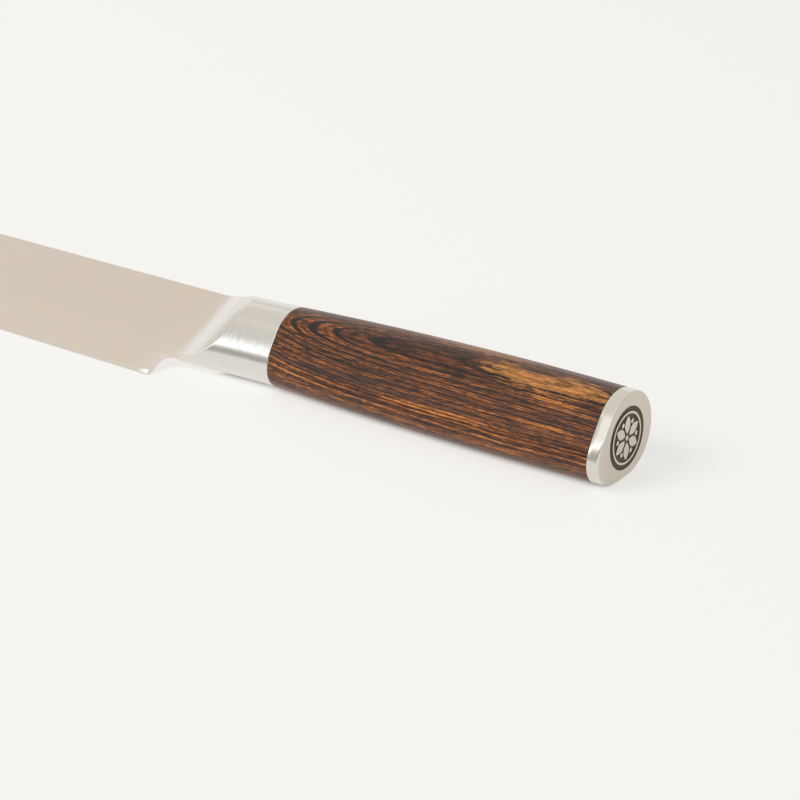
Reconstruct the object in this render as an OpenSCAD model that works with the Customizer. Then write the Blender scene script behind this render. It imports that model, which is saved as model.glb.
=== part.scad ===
// Carving knife with a hidden tang, lying on its right side as it does on a table.
// Every piece is drawn in the knife's own frame and then laid down:
// +X runs to the tip, +Z to the spine, +Y to the left face, and X = 0 is where bolster meets wood.

/* [Blade] */
// Length of the cutting edge, heel to tip
edge_l = 203; // [180:1:230]
// Height of the blade at the heel
blade_h = 31.6; // [30:0.1:32]
// Height of the spine above the middle of the handle
spine_z = 10.8; // [10:0.1:11.2]
// Thickness at the spine beside the bolster
blade_t = 2.5; // [2:0.1:3]
// Thickness of the spine at the tip
tip_t = 0.6; // [0.4:0.1:1]
// Thickness just above the cutting bevel
bevel_t = 0.7; // [0.5:0.1:1]
// Thickness just above the cutting bevel at the heel
heel_t = 0.9; // [0.8:0.1:1.4]
// Height of the cutting bevel
bevel_h = 0.9; // [0.6:0.1:1.5]
// Flat left on the very edge
edge_land = 0.06; // [0.04:0.01:0.1]
// Width of the eased corner along the spine
spine_ease = 0.35; // [0.2:0.05:0.5]
// How far the edge rises towards the tip
edge_rise = 16; // [12:0.5:20]
// How far the spine rises before it drops to the tip
spine_rise = 0.5; // [0:0.1:1.5]
// Length of straight spine before it drops to the tip
spine_straight = 70; // [50:5:90]
// Length over which the thick heel blends into the thin blade
heel_blend = 24; // [18:1:40]
// Height of the blunt end at the tip
tip_h = 0.6; // [0.4:0.1:1]

/* [Heel and ricasso] */
// Distance from the bolster's rear face to the heel
heel_x = 35.2; // [34:0.1:40]
// Height of the ricasso below the middle of the handle
ricasso_z = 12.8; // [12.4:0.1:13.4]
// Radius of the notch between ricasso and heel
choil_r = 3; // [2:0.2:4]
// How far the heel's back edge leans forward
heel_lean = 0.4; // [0:0.1:0.6]

/* [Tang] */
// Height of the tang where it leaves the blade
tang_h = 14; // [12:0.5:16]
// Height of the tang at its rear end
tang_end_h = 8; // [7:0.5:10]
// How far the flat tang reaches into the wood
tang_in_wood = 32; // [26:1:40]
// How much thinner the tang is than the blade
tang_thinning = 0.1; // [0.05:0.05:0.3]
// Diameter of the threaded tang rod
rod_d = 5; // [4.5:0.5:6]
// Depth of the fork that the rod is welded on with
rod_fork = 7; // [5:1:10]

/* [Bolster] */
// Length of the bolster at the middle of its front
bolster_l = 27.4; // [26.8:0.1:28]
// Radius of the scoop that runs the bolster out onto the blade
scoop_r = 20; // [17:0.5:24]
// How far ahead of the bolster the scoop runs out
scoop_ahead = 3; // [2.6:0.1:3.6]
// Lean of the bolster's front across the blade
front_lean = 4.5; // [0:0.5:6]

/* [Handle] */
// Length of the wood
wood_l = 100; // [90:1:120]
// Height of the handle at the bolster
grip_h_front = 23.8; // [23:0.1:25]
// Height of the handle at the end cap
grip_h_rear = 27.3; // [26:0.1:29]
// Thickness of the handle at the bolster
grip_t_front = 20.6; // [20:0.1:21.4]
// Thickness of the handle at the end cap
grip_t_rear = 22.6; // [22:0.1:24]
// How far spine and belly swell at the middle of the wood
swell = 1; // [0:0.1:1.4]
// Slope of each flat flank from the blade's plane
flank_angle = 25.5; // [22:0.5:26]

/* [End cap] */
// Thickness of the end cap
cap_t = 3.8; // [3.6:0.1:5]
// Radius of the cap's rear edge at the spine
cap_edge_r = 0.6; // [0.3:0.1:1.2]
// Radius of the cap's rear edge at the belly
cap_belly_r = 1.7; // [0.8:0.1:1.9]
// Diameter of the round recess in the cap's rear face
recess_d = 16.8; // [14:0.1:17.5]
// Height of the recess's centre above the middle of the handle
recess_z = 0.8; // [0:0.1:1]
// Depth of that recess
recess_deep = 0.2; // [0.1:0.05:0.4]
// Diameter of the two dowel pins that hold the cap
pin_d = 3; // [2:0.5:3.5]
// Length of each dowel pin
pin_l = 11; // [9:0.5:14]
// Depth of each pin in the cap
pin_in_cap = 2.4; // [2:0.1:2.8]
// Distance of each pin from the middle of the handle
pin_z = 9.7; // [9.4:0.1:10]

/* [Nut and bedding] */
// Width across flats of the nut
nut_af = 8; // [7:0.5:9]
// Thickness of the nut
nut_t = 4; // [3:0.5:5]
// Diameter of the washer
washer_d = 12; // [10:0.5:12.6]
// Thickness of the washer
washer_t = 1; // [0.8:0.1:1.5]
// Depth of the counterbore that hides the nut
counterbore = 8; // [7.5:0.5:10]
// Room for resin on each side of the tang
bedding_t = 0.4; // [0.3:0.1:0.8]
// Room for resin round the rod
rod_bedding_t = 0.5; // [0.3:0.1:0.8]
// Clearance between pieces that slide together
fit_gap = 0.05; // [0.03:0.01:0.1]

/* [Hidden] */
$fn = 48;

// Smallest step that keeps two cuts from sharing a face
nick = 0.5;
// Segments round the spine arc and the belly arc of the handle's section
spine_segments = 32;
belly_segments = 20;
// Rings along the wood, the bolster, the blade, its ricasso, the notch and the cap's rounded edge
wood_rings = 20;
bolster_rings = 8;
blade_rings = 60;
ricasso_rings = 8;
choil_rings = 6;
cap_rings = 6;

steel = [0.78, 0.77, 0.75];
bright_steel = [0.84, 0.84, 0.83];
dark_wood = [0.36, 0.19, 0.1];
zinc = [0.7, 0.71, 0.73];
amber_resin = [0.72, 0.6, 0.36];

// Lines of the blade, in the knife's frame
tip_x = heel_x + edge_l;
edge_z = spine_z - blade_h;
root_reach = blade_h * tan(front_lean) + nick;
drop_x = heel_x + spine_straight;
choil_x = heel_x - heel_lean - choil_r;
tip_z = edge_z + edge_rise;
// Share of the edge's rise that is a straight slant; the rest sweeps up to the tip with this power
edge_slant = 0.18;
edge_sweep = 3.2;
// Share of the spine's thinning that is even along the blade; the rest comes near the tip with this power
even_taper = 0.55;
late_taper = 5;
// Power with which the notch's wall thins towards the edge
notch_fade = 0.6;
// Height at which the cap's rim starts to soften, and the drop over which it does
rim_soft_z = 3;
rim_fade = 13;
// Most that the bevel and the eased spine may take of a low or thin ring
bevel_share = 0.4;
ease_share = 0.3;

// Flank planes: cos(a)*y - sin(a)*z = flank_c(x), mirrored for the right side
flank_sin = sin(flank_angle);
function flank_from(height, thickness) = thickness / 2 * (1 + flank_sin) - flank_sin * height / 2;
flank_front = flank_from(grip_h_front, grip_t_front);
flank_rear = flank_from(grip_h_rear, grip_t_rear);
flank_taper = (flank_rear - flank_front) / wood_l;
function flank_c(x) = flank_front - flank_taper * x;

// Spine and belly of the handle: swelling along the wood, easing into the blade along the bolster
function along_wood(x) = -x / wood_l;
function grip_half(x) = (grip_h_front + (grip_h_rear - grip_h_front) * along_wood(x)) / 2
                        + 4 * swell * along_wood(x) * (1 - along_wood(x));
function along_bolster(x) = x / bolster_l;
function grip_top(x) = x <= 0 ? grip_half(x)
    : grip_h_front / 2 + (spine_z - grip_h_front / 2) * along_bolster(x);
function grip_bottom(x) = x <= 0 ? -grip_half(x)
    : -grip_h_front / 2 - (ricasso_z - grip_h_front / 2) * pow(along_bolster(x), 2);

cap_x = -wood_l - cap_t;
rod_end_x = -wood_l + nick;
rod_front_x = -tang_in_wood + rod_fork;
rod_bore_d = rod_d + 2 * rod_bedding_t;
seat_x = -wood_l + counterbore;
tang_t = blade_t - tang_thinning;

// Resting place: the right flank on the table, the knife's box centred over the origin
pitch = atan(flank_taper);
spine_arc_r = (flank_rear + flank_sin * grip_h_rear / 2) / (1 + flank_sin);
reach_spine = (grip_h_rear / 2 - spine_arc_r) * cos(flank_angle) + spine_arc_r;
reach_edge = -edge_z * cos(flank_angle);
centre_x = (tip_x + cap_x) / 2;
centre_y = (reach_edge - reach_spine) / 2;

module lay_down() {
    translate([-centre_x * cos(pitch), -centre_y, flank_front * cos(pitch)])
        rotate([0, pitch, 0]) rotate([90 - flank_angle, 0, 0]) children();
}

// Angles of the section's points, over the spine and round the belly
spine_angles = [for (i = [0:spine_segments])
    -flank_angle + i * (180 + 2 * flank_angle) / spine_segments];
belly_angles = [for (i = [0:belly_segments])
    180 + flank_angle + i * (180 - 2 * flank_angle) / belly_segments];

// Point of the handle's section at x, at angle a on the spine's arc (side = 1) or the belly's (side = -1)
function egg_point(x, a, side, inset = 0) =
    let (reach = side > 0 ? grip_top(x) : -grip_bottom(x),
         r = (flank_c(x) + side * flank_sin * reach) / (1 + side * flank_sin))
    [x, (r - inset) * cos(a), side * (reach - r) + (r - inset) * sin(a)];

// Egg-shaped section of the handle at x: two arcs joined by the two flat flanks
function egg(x) = concat([for (a = spine_angles) egg_point(x, a, 1)],
                         [for (a = belly_angles) egg_point(x, a, -1)]);

// Ring on the cap's rounded rear edge, from its face (turn = 0) to its side (turn = 90):
// the edge is crisp over the spine and soft round the belly
function rim_r(z) = cap_edge_r + (cap_belly_r - cap_edge_r) * ease((rim_soft_z - z) / rim_fade);
function rim_point(turn, a, side) =
    let (r = rim_r(egg_point(cap_x, a, side)[2]))
    egg_point(cap_x + r * (1 - cos(turn)), a, side, r * (1 - sin(turn)));
function rim(turn) = concat([for (a = spine_angles) rim_point(turn, a, 1)],
                            [for (a = belly_angles) rim_point(turn, a, -1)]);

// Middle of a ring of points
function middle(ring) = [for (p = ring) 1 / len(ring)] * ring;

// Closed skin over a row of rings that all have the same number of points
module loft(rings) {
    n = len(rings[0]);
    last = len(rings) - 1;
    rear = n * (last + 1);
    sides = [for (i = [0:last - 1], j = [0:n - 1])
        let (a = i * n + j, b = i * n + (j + 1) % n)
        each [[a, a + n, b], [b, a + n, b + n]]];
    ends = [for (j = [0:n - 1])
        let (a = last * n + j, b = last * n + (j + 1) % n)
        each [[rear, j, (j + 1) % n], [rear + 1, b, a]]];
    polyhedron(concat([for (ring = rings) each ring], [middle(rings[0]), middle(rings[last])]),
               concat(sides, ends));
}

// Everything behind (or ahead of) the leaning face where blade and bolster meet
module bolster_front(ahead) {
    size = 4 * blade_h; // past the bolster on every side
    translate([bolster_l, 0, 0]) rotate([0, -front_lean, 0])
        translate([ahead ? size / 2 : -size / 2, 0, 0]) cube(size, center = true);
}

// How far the scoop still stands off the blade's face at x and height z
function flare(x, z) =
    let (ahead = bolster_l + scoop_ahead - z * tan(front_lean) - x,
         d = min(scoop_r, max(0, ahead * cos(front_lean))))
    scoop_r - sqrt(scoop_r * scoop_r - d * d);

// Smooth step from 0 to 1
function ease(t) = let (k = max(0, min(1, t))) k * k * (3 - 2 * k);

function spine_line(x) = let (climb = spine_z + spine_rise * (x - bolster_l) / (drop_x - bolster_l),
                              fall = climb - tip_h - tip_z)
    x < drop_x ? climb : climb - fall * pow((x - drop_x) / (tip_x - drop_x), 2);
function edge_line(x) = let (s = max(0, x - heel_x) / edge_l)
    edge_z + edge_rise * (edge_slant * s + (1 - edge_slant) * pow(s, edge_sweep));
function spine_t(x) = let (s = max(0, x - heel_x) / edge_l)
    tip_t + (blade_t - tip_t) * (1 - even_taper * s - (1 - even_taper) * pow(s, late_taper));
function shoulder_t(x) = x < heel_x
    ? blade_t + (heel_t - blade_t) * ease((x - choil_x) / (heel_x - choil_x))
    : min(spine_t(x), bevel_t + (heel_t - bevel_t) * (1 - ease((x - heel_x) / heel_blend)));

// Half of a blade ring, from the bottom up, at x with its lowest point at low
function half_ring(x, low, land) =
    let (top = spine_line(x), high = top - low, t = spine_t(x),
         rise = min(bevel_h, bevel_share * high),
         soft = min(spine_ease, ease_share * high, ease_share * t),
         shoulder = edge_line(x) + rise,
         foot_z = max(shoulder, low + edge_land),
         foot_t = shoulder_t(x) + (t - shoulder_t(x)) * (foot_z - shoulder) / (top - shoulder))
    concat([[min(land, foot_t) / 2, low]],
        [for (k = [0:3]) [(foot_t + (t - foot_t) * k / 3) / 2,
                          foot_z + (top - soft - foot_z) * k / 3]],
        [[t / 2 - soft, top]]);

function blade_ring(x, low, land = edge_land) =
    let (half = [for (p = half_ring(x, low, land)) [p[0] + flare(x, p[1]), p[1]]],
         n = len(half))
    concat([for (i = [0:n - 1]) [x, half[i][0], half[i][1]]],
           [for (i = [n - 1:-1:0]) [x, -half[i][0], half[i][1]]]);

// Thickness of the notch's wall at height z, from full at the ricasso to the land at the heel
function notch_t(z) = edge_land + (blade_t - edge_land)
    * pow((z - edge_z) / (-ricasso_z - edge_z), notch_fade);

module blade() color(steel) {
    root_x = bolster_l - root_reach;
    difference() {
        loft(concat(
            [for (i = [0:ricasso_rings - 1]) let (x = root_x + (choil_x - root_x) * i / ricasso_rings)
                blade_ring(x, -ricasso_z, blade_t)],
            [for (i = [0:choil_rings]) let (a = 90 - 90 * i / choil_rings,
                                            z = -ricasso_z - choil_r + choil_r * sin(a))
                blade_ring(choil_x + choil_r * cos(a), z, notch_t(z))],
            [for (i = [0:blade_rings]) let (x = heel_x + edge_l * i / blade_rings)
                blade_ring(x, edge_line(x))]));
        bolster_front(ahead = false);
    }
    tang();
}

// Flat tang, narrowing towards its rear end, as thick as the blade less the thinning
module tang(grow = 0) {
    front = bolster_l + nick;
    reach = -tang_in_wood - grow;
    rotate([90, 0, 0]) linear_extrude(tang_t + 2 * grow, center = true)
        polygon([[front, tang_h / 2 + grow], [0, tang_h / 2 + grow], [reach, tang_end_h / 2 + grow],
                 [reach, -tang_end_h / 2 - grow], [0, -tang_h / 2 - grow],
                 [front, -tang_h / 2 - grow]]);
}

module bolster() color(bright_steel) difference() {
    step = (bolster_l + root_reach) / bolster_rings;
    loft([for (i = [0:bolster_rings]) egg(i * step)]);
    bolster_front(ahead = true);
    for (side = [-1, 1])
        translate([bolster_l + scoop_ahead, side * (blade_t / 2 + scoop_r), 0])
            rotate([0, -front_lean, 0])
                cylinder(h = 3 * grip_h_rear, r = scoop_r, center = true, $fn = 96);
    tang(grow = fit_gap);
}

// Room in the wood for the flat tang and the rod behind it
module tang_cavity(shrink = 0) {
    depth = tang_in_wood + rod_bedding_t;
    slot_h = tang_h + 2 * bedding_t;
    slot_t = tang_t + 2 * bedding_t - 2 * shrink;
    translate([-depth / 2, 0, 0]) cube([depth, slot_t, slot_h - 2 * shrink], center = true);
    translate([seat_x, 0, 0]) rotate([0, 90, 0])
        cylinder(h = rod_front_x + rod_bedding_t - seat_x, d = rod_bore_d - 2 * shrink);
}

module handle_block() color(dark_wood) difference() {
    loft([for (i = [wood_rings:-1:0]) egg(-wood_l * i / wood_rings)]);
    tang_cavity();
    // Counterbore for washer and nut
    translate([-wood_l - nick, 0, 0]) rotate([0, 90, 0])
        cylinder(h = counterbore + nick, d = washer_d + 2 * rod_bedding_t);
    // Holes for the cap's two pins
    pins(pin_d + 2 * fit_gap, pin_l + pin_in_cap, -wood_l - pin_in_cap - fit_gap);
}

// Resin that fills the room round tang and rod
module tang_bedding() color(amber_resin) difference() {
    tang_cavity(shrink = fit_gap / 2);
    tang(grow = fit_gap / 2);
    rod(fit_gap / 2);
}

// Rod of the threaded stud, grown for the bore that holds it
module rod(grow = 0) {
    translate([rod_end_x - grow, 0, 0]) rotate([0, 90, 0])
        cylinder(h = rod_front_x - rod_end_x + 2 * grow, d = rod_d + 2 * grow);
}

module tang_rod() color(zinc) difference() {
    rod();
    tang(grow = fit_gap);
}

module rod_washer() color(zinc) translate([seat_x - washer_t, 0, 0]) rotate([0, 90, 0]) difference() {
    cylinder(h = washer_t, d = washer_d);
    translate([0, 0, -nick]) cylinder(h = washer_t + 2 * nick, d = rod_d + 2 * fit_gap);
}

module rod_nut() color(zinc) translate([seat_x - washer_t - nut_t, 0, 0]) rotate([0, 90, 0]) difference() {
    cylinder(h = nut_t, d = nut_af / cos(30), $fn = 6);
    translate([0, 0, -nick]) cylinder(h = nut_t + 2 * nick, d = rod_d + 2 * fit_gap);
}

// Two round pins above and below the rod, from x forwards
module pins(d, length, x) {
    for (side = [-1, 1])
        translate([x, 0, side * pin_z]) rotate([0, 90, 0]) cylinder(h = length, d = d);
}

module end_cap() color(bright_steel) difference() {
    loft(concat(
        [for (i = [0:cap_rings]) rim(90 * i / cap_rings)],
        [egg(-wood_l)]));
    translate([cap_x - nick, 0, recess_z]) rotate([0, 90, 0])
        cylinder(h = recess_deep + nick, d = recess_d, $fn = 96);
    pins(pin_d + 2 * fit_gap, pin_in_cap + nick + fit_gap, -wood_l - pin_in_cap - fit_gap);
}

module cap_pins() color(zinc) pins(pin_d, pin_l, -wood_l - pin_in_cap);

lay_down() blade();
lay_down() bolster();
lay_down() tang_rod();
lay_down() handle_block();
lay_down() tang_bedding();
lay_down() rod_washer();
lay_down() rod_nut();
lay_down() end_cap();
lay_down() cap_pins();
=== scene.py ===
"""Carving knife with a scooped steel bolster and a laminated handle, lying on its right side.

The knife's own frame is in millimetres: x runs to the tip from the joint of bolster and wood,
y to the left face and z to the spine. Every mesh is drawn there and then laid on the table.
"""

from __future__ import annotations

import logging
import math
from collections.abc import Iterable
from dataclasses import dataclass
from enum import Enum, IntEnum

import bmesh
import bpy
import numpy as np
from mathutils import Matrix, Vector

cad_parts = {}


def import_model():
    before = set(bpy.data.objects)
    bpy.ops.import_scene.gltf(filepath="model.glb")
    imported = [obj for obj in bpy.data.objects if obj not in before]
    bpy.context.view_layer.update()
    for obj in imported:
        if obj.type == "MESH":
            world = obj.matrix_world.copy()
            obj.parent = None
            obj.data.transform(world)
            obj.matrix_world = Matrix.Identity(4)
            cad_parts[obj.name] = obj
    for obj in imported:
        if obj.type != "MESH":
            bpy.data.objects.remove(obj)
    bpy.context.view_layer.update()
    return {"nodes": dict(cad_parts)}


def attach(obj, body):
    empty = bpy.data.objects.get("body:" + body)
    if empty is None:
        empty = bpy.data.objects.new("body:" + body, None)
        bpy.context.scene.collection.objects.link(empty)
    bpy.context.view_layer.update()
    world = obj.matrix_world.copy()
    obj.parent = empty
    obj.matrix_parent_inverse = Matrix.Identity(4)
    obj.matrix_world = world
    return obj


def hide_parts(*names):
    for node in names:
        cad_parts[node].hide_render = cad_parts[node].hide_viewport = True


log = logging.getLogger("knife")

Pair = tuple[float, float]
Triple = tuple[float, float, float]
Colour = tuple[float, float, float, float]

METRES = 0.001
BODY = "root"
# Degrees of the rows round a quarter of a small rounded edge
QUARTER_TURN = (0.0, 30.0, 60.0, 90.0)
# How far cutting shapes reach past what they cut, in millimetres
NICK = 1.0
# Half width of the fade between the handle's two sides, in millimetres
SIDE_FADE = 2.0


class Slot(Enum):
    """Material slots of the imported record."""

    BLADE = "blade_steel"
    BOLSTER = "bolster_steel"
    CAP = "cap_steel"
    WOOD = "laminated_wood"


class Brushing(Enum):
    """Fineness of the grinding marks per millimetre along x, y and z."""

    ACROSS_BLADE = (5.0, 0.5, 0.06)
    ROUND_HANDLE = (9.0, 0.22, 0.22)
    ACROSS_FACE = (0.3, 0.5, 6.0)
    LATHE_TURNED = (3.0, 3.0, 3.0)


def srgb(red: float, green: float, blue: float) -> Colour:
    """Turn a screen colour into the linear colour that shaders use.

    Args:
        red: Red from 0 to 255.
        green: Green from 0 to 255.
        blue: Blue from 0 to 255.

    Returns:
        Linear red, green and blue, and a full alpha.
    """
    linear = []
    for value in (red, green, blue):
        share = value / 255.0
        linear.append(share / 12.92 if share <= 0.04045 else ((share + 0.055) / 1.055) ** 2.4)
    return (linear[0], linear[1], linear[2], 1.0)


def smooth_step(value: np.ndarray) -> np.ndarray:
    """Ease from 0 to 1 with level ends."""
    held = np.clip(value, 0.0, 1.0)
    return held * held * (3.0 - 2.0 * held)


def smooth_min(first: np.ndarray, second: np.ndarray, blend: float) -> np.ndarray:
    """Take the smaller of two values, with the corner where they cross rounded by blend."""
    near = np.maximum(blend - np.abs(first - second), 0.0) / blend
    return np.minimum(first, second) - near * near * blend / 4.0


def round_off(distance: np.ndarray, radius: np.ndarray | float) -> np.ndarray:
    """Tell how far an edge of this radius lies inside the sharp form, at a distance from its end."""
    reach = np.clip(radius - distance, 0.0, radius)
    return radius - np.sqrt(np.maximum(radius * radius - reach * reach, 0.0))


@dataclass(frozen=True)
class KnifeForm:
    """Driving sizes in millimetres and the lines that follow from them.

    They are those of the CAD source, but for two finer ones: root_fade evens the blade out from
    the bolster on, and the cap's rim is crisper.
    """

    edge_length: float = 203.0
    blade_height: float = 31.6
    spine_z: float = 10.8
    spine_thick: float = 2.5
    tip_thick: float = 0.6
    bevel_thick: float = 0.7
    heel_thick: float = 0.9
    bevel_height: float = 0.9
    edge_land: float = 0.06
    spine_ease: float = 0.35
    edge_rise: float = 16.0
    spine_rise: float = 0.5
    spine_straight: float = 70.0
    heel_blend: float = 24.0
    tip_height: float = 0.6
    heel_x: float = 35.2
    ricasso_z: float = 12.8
    choil_radius: float = 3.0
    heel_lean: float = 0.4
    bevel_share: float = 0.4
    ease_share: float = 0.3
    edge_slant: float = 0.18
    edge_sweep: float = 3.2
    even_taper: float = 0.55
    late_taper: float = 5.0
    notch_fade: float = 0.6
    root_fade: float = 13.0
    tang_height: float = 14.0
    tang_end_height: float = 8.0
    tang_in_wood: float = 32.0
    tang_thinning: float = 0.1
    rod_diameter: float = 5.0
    rod_fork: float = 7.0
    bolster_length: float = 27.4
    scoop_radius: float = 20.0
    scoop_ahead: float = 3.0
    front_lean: float = 4.5
    wood_length: float = 100.0
    front_height: float = 23.8
    rear_height: float = 27.3
    front_thick: float = 20.6
    rear_thick: float = 22.6
    swell: float = 1.0
    flank_angle: float = 25.5
    cap_thick: float = 3.8
    cap_edge: float = 0.5
    cap_belly: float = 1.5
    rim_soft_z: float = -7.0
    rim_fade: float = 6.0
    recess_diameter: float = 16.8
    recess_z: float = 0.8
    recess_depth: float = 0.2
    pin_diameter: float = 3.0
    pin_length: float = 11.0
    pin_in_cap: float = 2.4
    pin_z: float = 9.7
    washer_diameter: float = 12.0
    counterbore: float = 8.0
    bedding: float = 0.4
    rod_bedding: float = 0.5
    fit_gap: float = 0.05

    @property
    def edge_z(self) -> float:
        """Height of the edge at the heel."""
        return self.spine_z - self.blade_height

    @property
    def tip_x(self) -> float:
        """Place of the tip along the knife."""
        return self.heel_x + self.edge_length

    @property
    def tip_z(self) -> float:
        """Height of the edge at the tip."""
        return self.edge_z + self.edge_rise

    @property
    def choil_x(self) -> float:
        """Where the ricasso ends and the notch begins."""
        return self.heel_x - self.heel_lean - self.choil_radius

    @property
    def cap_x(self) -> float:
        """Place of the cap's rear face."""
        return -self.wood_length - self.cap_thick

    @property
    def lean(self) -> float:
        """Slope of the leaning front of the bolster."""
        return math.tan(math.radians(self.front_lean))

    @property
    def flank_sine(self) -> float:
        """Sine of the flank's angle."""
        return math.sin(math.radians(self.flank_angle))

    def flank_from(self, height: float, thick: float) -> float:
        """Distance of a flank plane from the axis, for one height and thickness of the handle."""
        return thick / 2 * (1 + self.flank_sine) - self.flank_sine * height / 2

    @property
    def flank_front(self) -> float:
        """Distance of the flank plane at the bolster."""
        return self.flank_from(self.front_height, self.front_thick)

    @property
    def flank_rear(self) -> float:
        """Distance of the flank plane at the cap."""
        return self.flank_from(self.rear_height, self.rear_thick)

    @property
    def flank_taper(self) -> float:
        """Slope of the flank planes along the handle."""
        return (self.flank_rear - self.flank_front) / self.wood_length

    def grip_top(self, x: np.ndarray) -> np.ndarray:
        """Height of the handle's spine at x.

        Args:
            x: Place along the knife, in millimetres.

        Returns:
            Height above the middle of the handle.
        """
        back = np.clip(-x / self.wood_length, 0.0, None)
        wood = (self.front_height + (self.rear_height - self.front_height) * back) / 2
        wood = wood + 4 * self.swell * back * (1 - back)
        steel = self.front_height / 2 + (self.spine_z - self.front_height / 2) * x / self.bolster_length
        return np.where(x <= 0, wood, steel)

    def grip_bottom(self, x: np.ndarray) -> np.ndarray:
        """Height of the handle's belly at x.

        Args:
            x: Place along the knife, in millimetres.

        Returns:
            Height above the middle of the handle, below 0.
        """
        drop = self.ricasso_z - self.front_height / 2
        steel = -self.front_height / 2 - drop * (x / self.bolster_length) ** 2
        return np.where(x <= 0, -self.grip_top(np.minimum(x, 0.0)), steel)

    def front_x(self, z: np.ndarray) -> np.ndarray:
        """Place of the leaning front of the bolster at height z."""
        return self.bolster_length - z * self.lean

    def scoop_standoff(self, x: np.ndarray, z: np.ndarray) -> np.ndarray:
        """How far the scoop stands off the blade's face at x and z.

        Args:
            x: Place along the knife, in millimetres.
            z: Height above the middle of the handle.

        Returns:
            Distance from the face, 0 ahead of the scoop.
        """
        ahead = (self.front_x(z) + self.scoop_ahead - x) * math.cos(math.radians(self.front_lean))
        reach = np.clip(ahead, 0.0, self.scoop_radius)
        return self.scoop_radius - np.sqrt(self.scoop_radius**2 - reach**2)

    def spine_line(self, x: np.ndarray) -> np.ndarray:
        """Height of the blade's spine at x.

        Args:
            x: Place along the knife, in millimetres.

        Returns:
            Height above the middle of the handle.
        """
        drop_x = self.heel_x + self.spine_straight
        climb = self.spine_z + self.spine_rise * (x - self.bolster_length) / (drop_x - self.bolster_length)
        past = np.clip((x - drop_x) / (self.tip_x - drop_x), 0.0, 1.0)
        return climb - (climb - self.tip_height - self.tip_z) * past**2

    def along_edge(self, x: np.ndarray) -> np.ndarray:
        """Share of the edge that lies behind x."""
        return np.clip((x - self.heel_x) / self.edge_length, 0.0, 1.0)

    def edge_line(self, x: np.ndarray) -> np.ndarray:
        """Height of the cutting edge at x.

        Args:
            x: Place along the knife, in millimetres.

        Returns:
            Height above the middle of the handle.
        """
        share = self.along_edge(x)
        sweep = self.edge_slant * share + (1 - self.edge_slant) * share**self.edge_sweep
        return self.edge_z + self.edge_rise * sweep

    def spine_thickness(self, x: np.ndarray) -> np.ndarray:
        """Thickness of the blade at its spine at x.

        Args:
            x: Place along the knife, in millimetres.

        Returns:
            Full thickness.
        """
        share = self.along_edge(x)
        worn = self.even_taper * share + (1 - self.even_taper) * share**self.late_taper
        return self.tip_thick + (self.spine_thick - self.tip_thick) * (1 - worn)

    def shoulder_thickness(self, x: np.ndarray) -> np.ndarray:
        """Thickness of the blade just above its bevel at x.

        Args:
            x: Place along the knife, in millimetres.

        Returns:
            Full thickness.
        """
        fade = 1 - smooth_step((x - self.heel_x) / self.heel_blend)
        bevel = self.bevel_thick + (self.heel_thick - self.bevel_thick) * fade
        ground = np.minimum(self.spine_thickness(x), bevel)
        thinned = smooth_step((x - self.bolster_length) / self.root_fade)
        return self.spine_thick + (ground - self.spine_thick) * thinned


@dataclass(frozen=True)
class RestingPlace:
    """Lays the knife on its right flank with its box centred over the origin."""

    form: KnifeForm

    def turned(self) -> Matrix:
        """Rotation from the knife's frame to the shared frame.

        Returns:
            The rotation.
        """
        pitch = math.atan(self.form.flank_taper)
        roll = math.radians(90.0 - self.form.flank_angle)
        return Matrix.Rotation(pitch, 4, "Y") @ Matrix.Rotation(roll, 4, "X")

    def shift(self) -> Vector:
        """Move, in millimetres, that follows the rotation.

        Returns:
            The move.
        """
        form = self.form
        pitch = math.atan(form.flank_taper)
        tilt = math.cos(math.radians(form.flank_angle))
        arc = (form.flank_rear + form.flank_sine * form.rear_height / 2) / (1 + form.flank_sine)
        reach_spine = (form.rear_height / 2 - arc) * tilt + arc
        reach_edge = -form.edge_z * tilt
        centre_x = (form.tip_x + form.cap_x) / 2
        return Vector(
            (
                -centre_x * math.cos(pitch),
                -(reach_edge - reach_spine) / 2,
                form.flank_front * math.cos(pitch),
            )
        )

    def to_frame(self) -> Matrix:
        """Matrix from the knife's millimetres to the shared frame's metres."""
        return Matrix.Scale(METRES, 4) @ Matrix.Translation(self.shift()) @ self.turned()


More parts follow.
